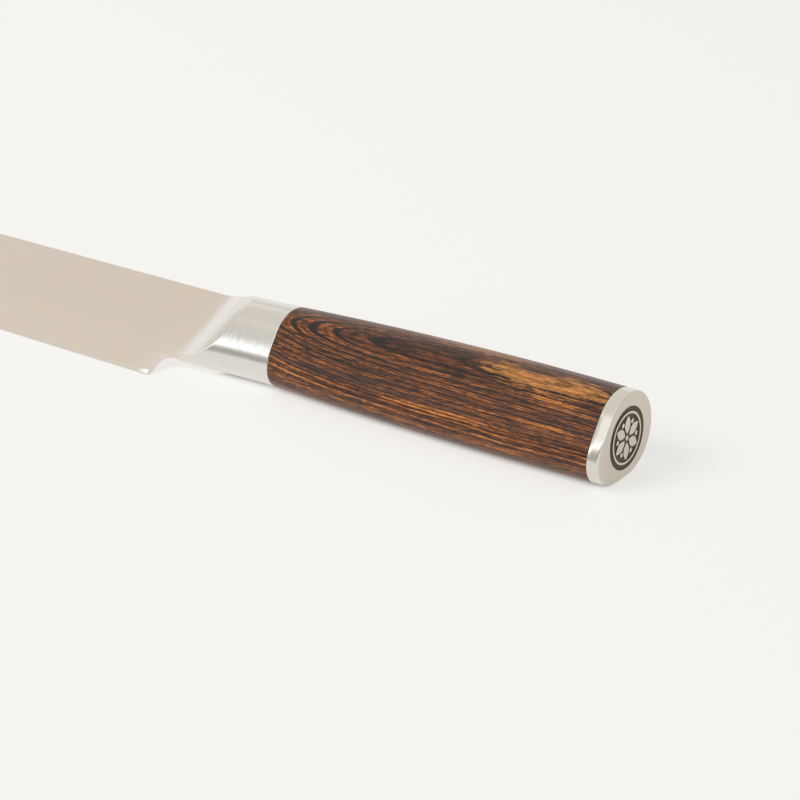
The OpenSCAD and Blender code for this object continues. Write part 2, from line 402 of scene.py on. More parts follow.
@dataclass(frozen=True)
class EggSection:
    """Ring of points round the handle: two arcs joined by two flat flanks.

    The ring runs over the spine from the left flank, down the right flank, round the belly
    and up the left flank again. The line where a flank meets the belly is polished down by
    soft_depth, over soft_reach to each side of a place soft_below down the flank.
    """

    form: KnifeForm
    spine_points: int = 96
    flank_points: int = 44
    belly_points: int = 64
    soft_depth: float = 0.34
    soft_reach: float = 3.2
    soft_below: float = 2.7

    def layout(self) -> tuple[np.ndarray, np.ndarray, np.ndarray]:
        """Work out where each point of the ring sits.

        Returns:
            Angle on the spine arc, angle on the belly arc, and share of the way from one to the other.
        """
        flank = self.form.flank_angle
        over = np.linspace(-flank, 180 + flank, self.spine_points)
        under = np.linspace(180 + flank, 360 - flank, self.belly_points)
        down = np.linspace(0, 1, self.flank_points + 2)[1:-1]
        right, left = 180 + flank, -flank
        spine = np.concatenate([over, np.full(down.size, right), np.full(under.size, right),
                                np.full(down.size, left)])
        belly = np.concatenate([np.full(over.size, left), np.full(down.size, right), under,
                                np.full(down.size, 360 + left)])
        share = np.concatenate([np.zeros(over.size), down, np.ones(under.size), down[::-1]])
        return np.radians(spine), np.radians(belly), share

    def outline(self, x: np.ndarray, inset: np.ndarray | float = 0.0) -> tuple[np.ndarray, np.ndarray]:
        """Work out the ring at x.

        Args:
            x: Place along the knife, one value for each point.
            inset: How far the ring lies inside the handle's surface.

        Returns:
            y and z of each point.
        """
        form, sine = self.form, self.form.flank_sine
        spine, belly, share = self.layout()
        reach = form.flank_front - form.flank_taper * x
        top, bottom = form.grip_top(x), form.grip_bottom(x)
        top_r = (reach + sine * top) / (1 + sine)
        bottom_r = (reach + sine * bottom) / (1 - sine)
        y = (1 - share) * (top_r - inset) * np.cos(spine) + share * (bottom_r - inset) * np.cos(belly)
        z = (1 - share) * (top - top_r + (top_r - inset) * np.sin(spine))
        z = z + share * (bottom + bottom_r + (bottom_r - inset) * np.sin(belly))
        return self.soften(y, z, bottom, bottom_r)

    def soften(self, y: np.ndarray, z: np.ndarray, bottom: np.ndarray,
               bottom_r: np.ndarray) -> tuple[np.ndarray, np.ndarray]:
        """Polish the line between each flank and the belly down a little.

        Args:
            y: y of each point.
            z: z of each point.
            bottom: Height of the belly there.
            bottom_r: Radius of the belly's arc there.

        Returns:
            y and z of each point after polishing.
        """
        tilt = math.cos(math.radians(self.form.flank_angle))
        line_y = bottom_r * tilt - self.soft_below * self.form.flank_sine
        line_z = bottom + bottom_r * (1 - self.form.flank_sine) - self.soft_below * tilt
        apart = (np.abs(y) - line_y) ** 2 + (z - line_z) ** 2
        depth = self.soft_depth * np.exp(-apart / self.soft_reach**2)
        return y - np.sign(y) * depth * tilt, z + depth * self.form.flank_sine


class Bench:
    """Turns rows of points in the knife's frame into finished pieces in the shared frame."""

    round_sides: int = 64

    def __init__(self, form: KnifeForm) -> None:
        """Keep the form and work out its resting place.

        Args:
            form: Sizes of the knife.
        """
        self.form = form
        self.place = RestingPlace(form).to_frame()
        self.back = self.place.inverted()

    @staticmethod
    def skin(shell: bmesh.types.BMesh, rings: np.ndarray) -> None:
        """Add a closed skin over a row of rings.

        Args:
            shell: Mesh that the skin is added to.
            rings: Points as rings, points round a ring, and x, y and z.
        """
        rows = [[shell.verts.new(point) for point in ring] for ring in rings]
        count = len(rows[0])
        for low, high in zip(rows, rows[1:]):
            for index in range(count):
                after = (index + 1) % count
                shell.faces.new((low[index], low[after], high[after], high[index]))
        shell.faces.new(rows[0][::-1])
        shell.faces.new(rows[-1])

    @staticmethod
    def prism(shell: bmesh.types.BMesh, outline: list[Triple], way: Vector) -> list[bmesh.types.BMFace]:
        """Add a closed prism.

        Args:
            shell: Mesh that the prism is added to.
            outline: Points of its base.
            way: Step from the base to the top.

        Returns:
            The faces of the prism, its base first and its top second.
        """
        base = [shell.verts.new(point) for point in outline]
        top = [shell.verts.new(Vector(point) + way) for point in outline]
        faces = [shell.faces.new(base[::-1]), shell.faces.new(top)]
        for index in range(len(base)):
            after = (index + 1) % len(base)
            faces.append(shell.faces.new((base[index], base[after], top[after], top[index])))
        return faces

    def piece(self, name: str, shell: bmesh.types.BMesh, crease: float) -> bpy.types.Object:
        """Lay a drawn mesh on the table and shade it.

        Args:
            name: Name of the piece.
            shell: Mesh in the knife's millimetres, which is freed.
            crease: Angle in degrees above which an edge stays sharp.

        Returns:
            The new object.
        """
        bmesh.ops.recalc_face_normals(shell, faces=shell.faces)
        mesh = bpy.data.meshes.new(name)
        shell.to_mesh(mesh)
        shell.free()
        mesh.transform(self.place)
        mesh.shade_smooth()
        mesh.set_sharp_from_angle(angle=math.radians(crease))
        made = bpy.data.objects.new(name, mesh)
        bpy.context.scene.collection.objects.link(made)
        return made

    def cut(self, made: bpy.types.Object, shell: bmesh.types.BMesh, crease: float) -> None:
        """Cut a room out of a piece.

        Args:
            made: The piece that is cut.
            shell: Closed mesh of the room in the knife's millimetres, which is freed.
            crease: Angle in degrees above which an edge stays sharp.
        """
        cutter = self.piece("cutter", shell, crease)
        step = made.modifiers.new("room", "BOOLEAN")
        step.operation = "DIFFERENCE"
        step.solver = "EXACT"
        step.object = cutter
        bpy.context.view_layer.update()
        ready = made.evaluated_get(bpy.context.evaluated_depsgraph_get())
        mesh = bpy.data.meshes.new_from_object(ready)
        made.modifiers.clear()
        made.data = mesh
        mesh.name = made.name
        mesh.set_sharp_from_angle(angle=math.radians(crease))
        bpy.data.objects.remove(cutter)

    def add(self, made: bpy.types.Object, shell: bmesh.types.BMesh, crease: float) -> None:
        """Add loose closed parts to a finished piece.

        Args:
            made: The piece that gets them.
            shell: The parts in the knife's millimetres, which are freed.
            crease: Angle in degrees above which an edge stays sharp.
        """
        bmesh.ops.recalc_face_normals(shell, faces=shell.faces)
        shell.transform(self.place)
        parts = bpy.data.meshes.new("parts")
        shell.to_mesh(parts)
        shell.free()
        whole = bmesh.new()
        whole.from_mesh(made.data)
        whole.from_mesh(parts)
        whole.to_mesh(made.data)
        whole.free()
        bpy.data.meshes.remove(parts)
        made.data.shade_smooth()
        made.data.set_sharp_from_angle(angle=math.radians(crease))

    def cylinder(self, shell: bmesh.types.BMesh, start_x: float, end_x: float, diameter: float,
                 z: float = 0.0) -> None:
        """Add a closed cylinder along x.

        Args:
            shell: Mesh that it is added to.
            start_x: Where it begins.
            end_x: Where it ends.
            diameter: Its diameter.
            z: Height of its axis.
        """
        angles = np.linspace(0, 2 * math.pi, self.round_sides, endpoint=False)
        outline = [(start_x, diameter / 2 * math.cos(a), z + diameter / 2 * math.sin(a)) for a in angles]
        self.prism(shell, outline, Vector((end_x - start_x, 0, 0)))

    def tang(self, shell: bmesh.types.BMesh, front: float, grow: float = 0.0) -> None:
        """Add the flat tang, narrowing towards its rear end.

        Args:
            shell: Mesh that it is added to.
            front: Where it begins.
            grow: How much wider it is on every side.
        """
        form = self.form
        half = (form.spine_thick - form.tang_thinning) / 2 + grow
        tall, low = form.tang_height / 2 + grow, form.tang_end_height / 2 + grow
        rear = -form.tang_in_wood - grow
        outline = [(front, -half, tall), (0, -half, tall), (rear, -half, low),
                   (rear, -half, -low), (0, -half, -tall), (front, -half, -tall)]
        self.prism(shell, outline, Vector((0, 2 * half, 0)))

    def finish(self, made: bpy.types.Object, node: str, slot: Slot) -> bpy.types.Object:
        """Make a piece ride on the knife and stand for its CAD node.

        Args:
            made: The piece.
            node: CAD node that it stands for.
            slot: Material slot of the record; not used.

        Returns:
            The same piece.
        """
        even = made.modifiers.new("even_normals", "WEIGHTED_NORMAL")
        even.keep_sharp = True
        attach(made, BODY)
        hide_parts(node)
        return made


class NodeBench:
    """Lays out and links the nodes of one node tree."""

    def __init__(self, tree: bpy.types.NodeTree) -> None:
        """Take the node tree of a material or of the room and empty it."""
        self.tree = tree
        self.tree.nodes.clear()

    def node(self, kind: str, **settings: object) -> bpy.types.Node:
        """Add a node and give it its settings.

        Args:
            kind: Blender's name for the kind of node.
            settings: Its settings by name.

        Returns:
            The new node.
        """
        made = self.tree.nodes.new(kind)
        for name, value in settings.items():
            setattr(made, name, value)
        return made

    def feed(self, socket: bpy.types.NodeSocket, value: object) -> None:
        """Link a socket to another one, or set its value.

        Args:
            socket: Input that is fed.
            value: Output that feeds it, or a value.
        """
        if isinstance(value, bpy.types.NodeSocket):
            self.tree.links.new(value, socket)
        else:
            socket.default_value = value

    def split(self, vector: bpy.types.NodeSocket) -> tuple[bpy.types.NodeSocket, ...]:
        """Split a vector into its three values.

        Args:
            vector: The vector.

        Returns:
            Its x, y and z.
        """
        made = self.node("ShaderNodeSeparateXYZ")
        self.feed(made.inputs[0], vector)
        return made.outputs[0], made.outputs[1], made.outputs[2]

    def join(self, x: object, y: object, z: object) -> bpy.types.NodeSocket:
        """Join three values into a vector.

        Args:
            x: First value or socket.
            y: Second value or socket.
            z: Third value or socket.

        Returns:
            The vector.
        """
        made = self.node("ShaderNodeCombineXYZ")
        for socket, value in zip(made.inputs, (x, y, z)):
            self.feed(socket, value)
        return made.outputs[0]

    def vector(self, operation: str, first: object,
               second: object = (0.0, 0.0, 0.0)) -> bpy.types.NodeSocket:
        """Combine two vectors.

        Args:
            operation: How they are combined.
            first: First vector or socket.
            second: Second vector or socket, where the operation has one.

        Returns:
            The result.
        """
        made = self.node("ShaderNodeVectorMath", operation=operation)
        self.feed(made.inputs[0], first)
        self.feed(made.inputs[1], second)
        return made.outputs[0]

    def math(self, operation: str, first: object, second: object = 0.0) -> bpy.types.NodeSocket:
        """Add a math node.

        Args:
            operation: Its operation.
            first: First value or socket.
            second: Second value or socket, where the operation has one.

        Returns:
            The result.
        """
        made = self.node("ShaderNodeMath", operation=operation)
        self.feed(made.inputs[0], first)
        self.feed(made.inputs[1], second)
        return made.outputs[0]

    def plus(self, *terms: object) -> bpy.types.NodeSocket:
        """Add several values up.

        Args:
            terms: Values or sockets.

        Returns:
            Their sum.
        """
        total = terms[0]
        for term in terms[1:]:
            total = self.math("ADD", total, term)
        return total

    def times(self, first: object, *others: object) -> bpy.types.NodeSocket:
        """Multiply several values.

        Args:
            first: First value or socket.
            others: Further values or sockets.

        Returns:
            Their product.
        """
        product = first
        for other in others:
            product = self.math("MULTIPLY", product, other)
        return product

    def mixture(self, values: Iterable[object], shares: Iterable[float]) -> bpy.types.NodeSocket:
        """Add several values up, each times its own share."""
        return self.plus(*(self.times(value, share) for value, share in zip(values, shares)))

    def centred(self, value: object) -> bpy.types.NodeSocket:
        """Move a random value from 0 to 1 so that it swings round 0."""
        return self.math("SUBTRACT", value, 0.5)

    def steps(self, value: object, low: float, high: float, to_low: float = 0.0,
              to_high: float = 1.0) -> bpy.types.NodeSocket:
        """Ease smoothly from one value to another.

        Args:
            value: Socket that drives the step.
            low: Where the step begins.
            high: Where the step ends.
            to_low: Result below the step.
            to_high: Result above the step.

        Returns:
            The eased value.
        """
        made = self.node("ShaderNodeMapRange", interpolation_type="SMOOTHSTEP")
        for socket, entry in zip(made.inputs, (value, low, high, to_low, to_high)):
            self.feed(socket, entry)
        return made.outputs[0]

    def window(self, value: object, low: float, high: float, soft: float) -> bpy.types.NodeSocket:
        """Tell whether a value lies between two bounds, with soft borders as wide as soft.

        Args:
            value: Value or socket.
            low: Lower bound.
            high: Upper bound.
            soft: Width of each border.

        Returns:
            1 between the bounds, 0 beyond them.
        """
        enter = self.steps(value, low - soft / 2, low + soft / 2)
        leave = self.steps(value, high - soft / 2, high + soft / 2, 1.0, 0.0)
        return self.times(enter, leave)

    def noise(self, vector: object, detail: float, harshness: float = 0.5) -> bpy.types.NodeSocket:
        """Soft random value from 0 to 1.

        Args:
            vector: Where it is read.
            detail: Number of finer layers.
            harshness: Strength of the finer layers.

        Returns:
            The random value.
        """
        made = self.node("ShaderNodeTexNoise")
        self.feed(made.inputs["Vector"], vector)
        made.inputs["Scale"].default_value = 1.0
        made.inputs["Detail"].default_value = detail
        made.inputs["Roughness"].default_value = harshness
        return made.outputs["Fac"]

    def chance(self, value: bpy.types.NodeSocket, offset: float) -> bpy.types.NodeSocket:
        """Random value from 0 to 1, one for each whole number, in the draw set by the offset.

        Args:
            value: Whole number.
            offset: Number that sets this draw apart.

        Returns:
            The random value.
        """
        made = self.node("ShaderNodeTexWhiteNoise", noise_dimensions="1D")
        self.feed(made.inputs["W"], self.math("ADD", value, offset))
        return made.outputs["Value"]

    def ramp(self, value: bpy.types.NodeSocket,
             stops: tuple[tuple[float, Colour], ...]) -> bpy.types.NodeSocket:
        """Colour ramp.

        Args:
            value: Where the ramp is read.
            stops: Place and colour of each stop.

        Returns:
            The colour.
        """
        made = self.node("ShaderNodeValToRGB")
        band = made.color_ramp
        while len(band.elements) < len(stops):
            band.elements.new(1.0)
        for element, (where, colour) in zip(band.elements, stops):
            element.position = where
            element.color = colour
        self.feed(made.inputs[0], value)
        return made.outputs["Color"]

    def blend(self, share: object, first: object, second: object) -> bpy.types.NodeSocket:
        """Mix two colours.

        Args:
            share: Share of the second colour.
            first: First colour or socket.
            second: Second colour or socket.

        Returns:
            The mixed colour.
        """
        made = self.node("ShaderNodeMix", data_type="RGBA", blend_type="MIX")
        self.feed(made.inputs[0], share)
        self.feed(made.inputs[6], first)
        self.feed(made.inputs[7], second)
        return made.outputs[2]

    def shade(self, colour: object, share: object) -> bpy.types.NodeSocket:
        """Multiply a colour by a value.

        Args:
            colour: Colour or socket.
            share: Value or socket.

        Returns:
            The product.
        """
        made = self.node("ShaderNodeVectorMath", operation="SCALE")
        self.feed(made.inputs[0], colour[:3] if isinstance(colour, tuple) else colour)
        self.feed(made.inputs["Scale"], share)
        return made.outputs[0]


class FinishBench(NodeBench):
    """Node bench of one material, which knows its place on the knife in millimetres."""

    def __init__(self, name: str, place: Matrix) -> None:
        """Start an empty material.

        Args:
            name: Name of the material.
            place: Matrix from the shared frame to the knife's millimetres.
        """
        self.material = bpy.data.materials.new(name)
        self.material.use_nodes = True
        super().__init__(self.material.node_tree)
        self.place = place
        self.millimetres = self.in_knife_frame()
        self.x, self.y, self.z = self.split(self.millimetres)

    def in_knife_frame(self) -> bpy.types.NodeSocket:
        """Position on the surface in the knife's millimetres.

        Returns:
            The position.
        """
        where = self.node("ShaderNodeTexCoord")
        turn = self.node("ShaderNodeMapping", vector_type="POINT")
        self.feed(turn.inputs["Vector"], where.outputs["Object"])
        turn.inputs["Location"].default_value = self.place.to_translation()
        turn.inputs["Rotation"].default_value = self.place.to_euler("XYZ")
        turn.inputs["Scale"].default_value = self.place.to_scale()
        return turn.outputs["Vector"]

    def stretch(self, fineness: Triple, offset: float = 0.0) -> bpy.types.NodeSocket:
        """Scale the position, so that a texture runs finer or coarser along each axis.

        Args:
            fineness: Scale along x, y and z, per millimetre.
            offset: Step that sets this texture apart from the others.

        Returns:
            The scaled position.
        """
        made = self.node("ShaderNodeVectorMath", operation="MULTIPLY_ADD")
        self.feed(made.inputs[0], self.millimetres)
        made.inputs[1].default_value = fineness
        made.inputs[2].default_value = (offset, offset, offset)
        return made.outputs[0]

    def lean(self, amount: object) -> bpy.types.NodeSocket:
        """Lean the surface's normal round the handle, across marks that run round it.

        Args:
            amount: How far it leans, as a slope.

        Returns:
            The leaning normal.
        """
        lengthwise = self.place.inverted().to_3x3() @ Vector((1, 0, 0))
        normal = self.node("ShaderNodeNewGeometry").outputs["Normal"]
        around = self.vector("CROSS_PRODUCT", normal, lengthwise.normalized())
        return self.vector("NORMALIZE", self.vector("ADD", normal, self.shade(around, amount)))

    def bump(self, height: object, depth: float, strength: float = 1.0,
             normal: object = None) -> bpy.types.NodeSocket:
        """Relief from a height value.

        Args:
            height: Height from 0 to 1.
            depth: Depth of the relief in millimetres.
            strength: Strength of the relief.
            normal: Normal that it starts from, if not the surface's own.

        Returns:
            The bent normal.
        """
        made = self.node("ShaderNodeBump")
        made.inputs["Strength"].default_value = strength
        made.inputs["Distance"].default_value = depth * METRES
        self.feed(made.inputs["Height"], height)
        if normal is not None:
            self.feed(made.inputs["Normal"], normal)
        return made.outputs["Normal"]

    def surface(self, colour: object, roughness: object, normal: object = None,
                **settings: object) -> bpy.types.Material:
        """Close the material with its shader.

        Args:
            colour: Base colour or socket.
            roughness: Roughness or socket.
            normal: Bent normal, if any.
            settings: Further values by the name of their socket, with _ for a space.

        Returns:
            The finished material.
        """
        shader = self.node("ShaderNodeBsdfPrincipled")
        self.feed(shader.inputs["Base Color"], colour)
        self.feed(shader.inputs["Roughness"], roughness)
        if normal is not None:
            self.feed(shader.inputs["Normal"], normal)
        for name, value in settings.items():
            self.feed(shader.inputs[name.replace("_", " ")], value)
        out = self.node("ShaderNodeOutputMaterial")
        self.tree.links.new(shader.outputs[0], out.inputs["Surface"])
        return self.material


@dataclass(frozen=True)
class Finish:
    """Procedural finish, laid out in the knife's millimetres."""

    name: str

    def material(self, place: Matrix) -> bpy.types.Material:
        """Build the material, where place leads from the shared frame to the knife's millimetres."""
        return self.lay(FinishBench(self.name, place))

    def lay(self, bench: FinishBench) -> bpy.types.Material:
        """Lay the finish's nodes on an empty bench and close them into its material."""
        raise NotImplementedError


@dataclass(frozen=True)
class GroundSteel(Finish):
    """Satin steel with fine grinding marks and soft cloudy patches, which on the blade are painted
    reflection.

    Marks that run round the handle also lean the surface a little, which feathers the
    borders of what it mirrors.
    """

    tint: Colour
    brushing: Brushing
    roughness: float = 0.3
    roughness_swing: float = 0.16
    mark_depth: float = 0.004
    mark_contrast: float = 0.08
    mark_lean: float = 0.0
    # Share of the fine marks, and scale of the coarse ones against them
    fine_share: float = 0.65
    coarse_scale: float = 0.28
    coarse_offset: float = 7.0
    # Clouds in the tone, and the part of them that is warmer; on the blade they are painted reflection,
    # standing in for the mottled reflections of a slightly wavy face
    cloud_fineness: Triple = (0.07, 0.11, 0.13)
    cloud_offset: float = 3.0
    cloud_contrast: float = 0.06
    painted_reflection_warmth: float = 0.0
    painted_reflection_span: Pair = (0.42, 0.62)
    painted_reflection_gain: Colour = (1.02, 0.985, 0.95, 1.0)
    # Painted light low on the blade: a lighter tone that stands in for the brighter reflection near the
    # edge, and the heights between which it comes in
    painted_light_below: float = 0.0
    painted_light_span: Pair = (-2.0, -20.0)
    # Finish that this one grows out of, and how far behind and ahead of the joint they blend
    root: GroundSteel | None = None
    root_behind: float = 0.1
    root_ahead: float = 1.5

    def near_root(self, bench: FinishBench) -> bpy.types.NodeSocket:
        """Share of the root's finish, which falls from 1 to 0 past the leaning joint.

        Args:
            bench: Bench of the material.

        Returns:
            The share.
        """
        form = KnifeForm()
        along = bench.plus(bench.x, bench.times(bench.z, form.lean))
        joint = form.bolster_length
        return bench.steps(along, joint - self.root_behind, joint + self.root_ahead, 1.0, 0.0)

    def lay(self, bench: FinishBench) -> bpy.types.Material:
        """Lay marks, clouds and tone.

        Args:
            bench: Bench of the material.

        Returns:
            The finished material.
        """
        fine = bench.noise(bench.stretch(self.brushing.value), 3.0, 0.6)
        coarse_way = tuple(value * self.coarse_scale for value in self.brushing.value)
        coarse = bench.noise(bench.stretch(coarse_way, self.coarse_offset), 2.0)
        marks = bench.mixture((fine, coarse), (self.fine_share, 1 - self.fine_share))
        cloud = bench.noise(bench.stretch(self.cloud_fineness, self.cloud_offset), 3.0, 0.55)
        swing = bench.centred(marks)
        light = bench.plus(
            1.0,
            bench.times(swing, self.mark_contrast * 2),
            bench.times(bench.centred(cloud), self.cloud_contrast * 2),
        )
        # Painted reflection: the tone grows lighter low on the blade
        if self.painted_light_below:
            light = bench.plus(light, bench.steps(bench.z, *self.painted_light_span, 0.0, self.painted_light_below))
        # Painted reflection: the warmer part of the clouds stands in for mottled reflections
        painted_reflection_tint = tuple(channel * gain for channel, gain in zip(self.tint, self.painted_reflection_gain))
        tone = bench.blend(bench.steps(cloud, *self.painted_reflection_span, 0.0, self.painted_reflection_warmth), self.tint, painted_reflection_tint)
        rough = bench.plus(self.roughness, bench.times(swing, self.roughness_swing * 2))
        if self.root is not None:
            share = self.near_root(bench)
            tone = bench.blend(share, tone, self.root.tint)
            rough = bench.plus(rough, bench.times(share, self.root.roughness - self.roughness))
        normal = bench.lean(bench.times(swing, self.mark_lean * 2)) if self.mark_lean else None
        relief = bench.bump(marks, self.mark_depth, normal=normal)
        return bench.surface(bench.shade(tone, light), rough, relief, Metallic=1.0)


@dataclass(frozen=True)
class Streaks:
    """Soft random streaks in the wood, by how fine they are per millimetre along x, y and z."""

    fineness: Triple
    offset: float
    detail: float = 3.0
    harshness: float = 0.6
    reach: float = 1.0

    def swing(self, bench: FinishBench) -> bpy.types.NodeSocket:
        """Random value that swings both ways from 0 by about half the reach."""
        drawn = bench.noise(bench.stretch(self.fineness, self.offset), self.detail, self.harshness)
        return bench.times(bench.centred(drawn), self.reach)


@dataclass(frozen=True)
class Spot:
    """Soft oval spot on the handle's left side, by its middle and half lengths in x and z."""

    centre: Pair
    reach: Pair
    strength: float

    def on(self, bench: FinishBench) -> bpy.types.NodeSocket:
        """Strength of the spot at its middle, falling to 0 around it and on the right side.

        Args:
            bench: Bench of the material.

        Returns:
            The strength at each point.
        """
        squares = []
        for place, middle, reach in zip((bench.x, bench.z), self.centre, self.reach):
            away = bench.math("DIVIDE", bench.math("SUBTRACT", place, middle), reach)
            squares.append(bench.times(away, away))
        mound = bench.math("EXPONENT", bench.times(bench.plus(*squares), -1.0))
        return bench.times(mound, bench.steps(bench.y, -SIDE_FADE, SIDE_FADE), self.strength)


@dataclass(frozen=True)
class BlotchOrSheen(Spot):
    """Patch of another colour in the wood's figure, or a painted tan sheen along the spine."""

    colour: Colour


@dataclass(frozen=True)
class Grain:
    """Random values of the wood at each point: those of its veneer, then its fibres."""

    within: bpy.types.NodeSocket
    tone: bpy.types.NodeSocket
    width: bpy.types.NodeSocket
    cloud: bpy.types.NodeSocket
    coarse: bpy.types.NodeSocket
    medium: bpy.types.NodeSocket
    long_thread: bpy.types.NodeSocket
    thread: bpy.types.NodeSocket
    fibre: bpy.types.NodeSocket


@dataclass(frozen=True)
class LaminatedWood(Finish):
    """Dark stained veneers pressed flat to the blade's plane, under a semi-gloss finish.

    Each veneer is a layer right through the block, so the rounded surface cuts it into long
    lines and closed loops.
    """

    name: str = "laminated_wood"
    # The pressed stack: thickness of a veneer, and how the layers wander from the flat
    veneer: float = 0.6
    phase: float = 0.35
    drift: Streaks = Streaks((0.018, 0.03, 0.05), 4.2, detail=1.0, harshness=0.5, reach=1.0)
    ripple: Streaks = Streaks((0.085, 0.07, 0.16), 1.7, detail=2.0, harshness=0.5, reach=0.3)
    jag: Streaks = Streaks((0.7, 0.4, 0.8), 9.1, detail=2.0, harshness=0.5, reach=0.12)
    end_bend: float = -2.0
    end_reach: float = 17.0
    lens: Spot = Spot((-78.0, 5.8), (18.0, 4.5), 1.0)
    # Draws of each veneer, and long soft changes of tone along it
    tone_draw: float = 13.3
    width_draw: float = 31.7
    cloud_fineness: Triple = (0.05, 3.7, 0.06)
    # Fibres: coarse, medium, long threads and threads, and their shares in tone and in torn lines
    fibres: tuple[Streaks, ...] = (
        Streaks((0.1, 1.3, 1.1), 2.3),
        Streaks((0.26, 2.4, 2.1), 7.7),
        Streaks((0.09, 2.1, 1.9), 11.3, detail=2.0),
        Streaks((0.5, 4.6, 4.2), 5.9),
    )
    fibre_shares: tuple[float, ...] = (0.5, 1.2, 1.5, 1.0)
    fray_shares: Triple = (0.12, 0.22, 0.26)
    # Stain from dark to light, read by the veneer's own tone, the clouds and the fibres
    stain: tuple[tuple[float, Colour], ...] = (
        (0.0, srgb(46, 32, 27)),
        (0.28, srgb(90, 55, 38)),
        (0.5, srgb(128, 78, 46)),
        (0.74, srgb(184, 110, 56)),
        (1.0, srgb(236, 154, 82)),
    )
    stain_tone: float = 0.34
    stain_cloud: float = 0.45
    stain_base: float = 0.04
    # Patches, whose borders are torn by the fibres: most are the wood's figure, and one is a painted tan
    # sheen along the spine
    blotches_and_sheen: tuple[BlotchOrSheen, ...] = (
        BlotchOrSheen((-37.0, 2.7), (6.0, 1.2), 0.45, srgb(84, 50, 38)),
        BlotchOrSheen((-30.0, -8.4), (6.0, 0.9), 0.8, srgb(56, 46, 46)),
        BlotchOrSheen((-56.0, -10.9), (18.0, 0.5), 0.95, srgb(214, 132, 62)),
        BlotchOrSheen((-86.0, -1.7), (8.0, 1.0), 0.95, srgb(206, 130, 64)),
        BlotchOrSheen((-85.0, -8.0), (14.0, 0.6), 0.7, srgb(196, 120, 58)),
        BlotchOrSheen((-82.0, 3.4), (19.0, 3.6), 0.85, srgb(222, 152, 84)),
        # painted sheen: a tan strip along the spine that stands in for the varnish's grazing reflection of
        # the bright room
        BlotchOrSheen((-58.0, 9.6), (17.0, 2.2), 0.85, srgb(206, 138, 84)),
        BlotchOrSheen((-78.0, 5.9), (7.0, 0.9), 0.85, srgb(60, 42, 34)),
    )
    blotch_gain: float = 1.6
    blotch_tear: float = 0.8
    blotch_span: Pair = (0.3, 0.9)
    blotch_share: float = 0.85
    blotch_grain: float = 1.3
    # Dark glue line and late wood where a veneer starts, and a finer line within it
    black: Colour = srgb(31, 27, 29)
    line_width: float = 0.2
    line_spread: float = 0.3
    line_fade: Pair = (0.7, 1.25)
    glue_fade: Pair = (0.93, 1.03)
    inner_place: float = 0.5
    inner_spread: float = 0.3
    inner_fade: Pair = (0.02, 0.1)
    inner_share: float = 0.6
    # Depth of those lines: more in clouds and by the bolster, less in threads and in one clear spot
    line_depth: float = 0.66
    line_cloud: float = 0.5
    line_thread: float = -0.9
    bolster_depth: float = 0.3
    bolster_fade: Pair = (-45.0, -5.0)
    clearing: Spot = Spot((-76.0, 4.2), (14.0, 3.2), -0.75)
    line_most: float = 0.95
    # Open pores along the fibres
    pore_long: float = 0.8
    pore_fade: Pair = (0.13, 0.21)
    pore_share: float = 0.65
    # Light on the threads, a painted haze along the belly that stands in for its reflection of the pale
    # table, and the semi-gloss finish
    thread_light: float = 0.6
    painted_belly_haze: float = 0.16
    painted_belly_fade: Pair = (-6.0, -11.0)
    roughness: float = 0.38
    roughness_swing: float = 0.2
    thread_relief: float = 0.6
    pore_relief: float = -0.5
    relief_depth: float = 0.012
    relief_strength: float = 0.5
    specular: float = 0.32
    sheen: float = 0.1
    sheen_roughness: float = 0.45

    def layer_place(self, bench: FinishBench) -> bpy.types.NodeSocket:
        """Position through the pressed stack, counted in veneers.

        Args:
            bench: Bench of the material.

        Returns:
            Number of the veneer, with its fraction.
        """
        wander = [streaks.swing(bench) for streaks in (self.drift, self.ripple, self.jag)]
        bend = bench.math("EXPONENT", bench.math("DIVIDE", bench.x, self.end_reach))
        place = bench.plus(bench.y, *wander, bench.times(bend, self.end_bend), self.lens.on(bench))
        return bench.plus(bench.math("DIVIDE", place, self.veneer), self.phase)

    def grain(self, bench: FinishBench) -> Grain:
        """Draw the random values of the veneers and their fibres.

        Args:
            bench: Bench of the material.

        Returns:
            Random values of the wood.
        """
        layer = self.layer_place(bench)
        index = bench.math("FLOOR", layer)
        along = [bench.times(place, scale) for place, scale in
                 zip((bench.x, index, bench.z), self.cloud_fineness)]
        fibres = [streaks.swing(bench) for streaks in self.fibres]
        return Grain(
            bench.math("FRACT", layer),
            bench.chance(index, self.tone_draw),
            bench.chance(index, self.width_draw),
            bench.noise(bench.join(*along), 3.0),
            *fibres,
            bench.mixture(fibres, self.fibre_shares),
        )

    def stained(self, bench: FinishBench, grain: Grain) -> bpy.types.NodeSocket:
        """Colour of the stained veneers with their patches, one of which is painted sheen along the spine.

        Args:
            bench: Bench of the material.
            grain: Random values of the wood.

        Returns:
            The colour.
        """
        warmth = bench.mixture((grain.tone, grain.cloud), (self.stain_tone, self.stain_cloud))
        colour = bench.ramp(bench.plus(warmth, grain.fibre, self.stain_base), self.stain)
        tear = bench.times(grain.fibre, self.blotch_tear)
        grained = bench.plus(1.0, bench.times(grain.fibre, self.blotch_grain))
        for blotch_or_sheen in self.blotches_and_sheen:
            torn = bench.plus(bench.times(blotch_or_sheen.on(bench), self.blotch_gain), tear)
            share = bench.times(bench.steps(torn, *self.blotch_span), self.blotch_share)
            colour = bench.blend(share, colour, bench.shade(blotch_or_sheen.colour, grained))
        return colour

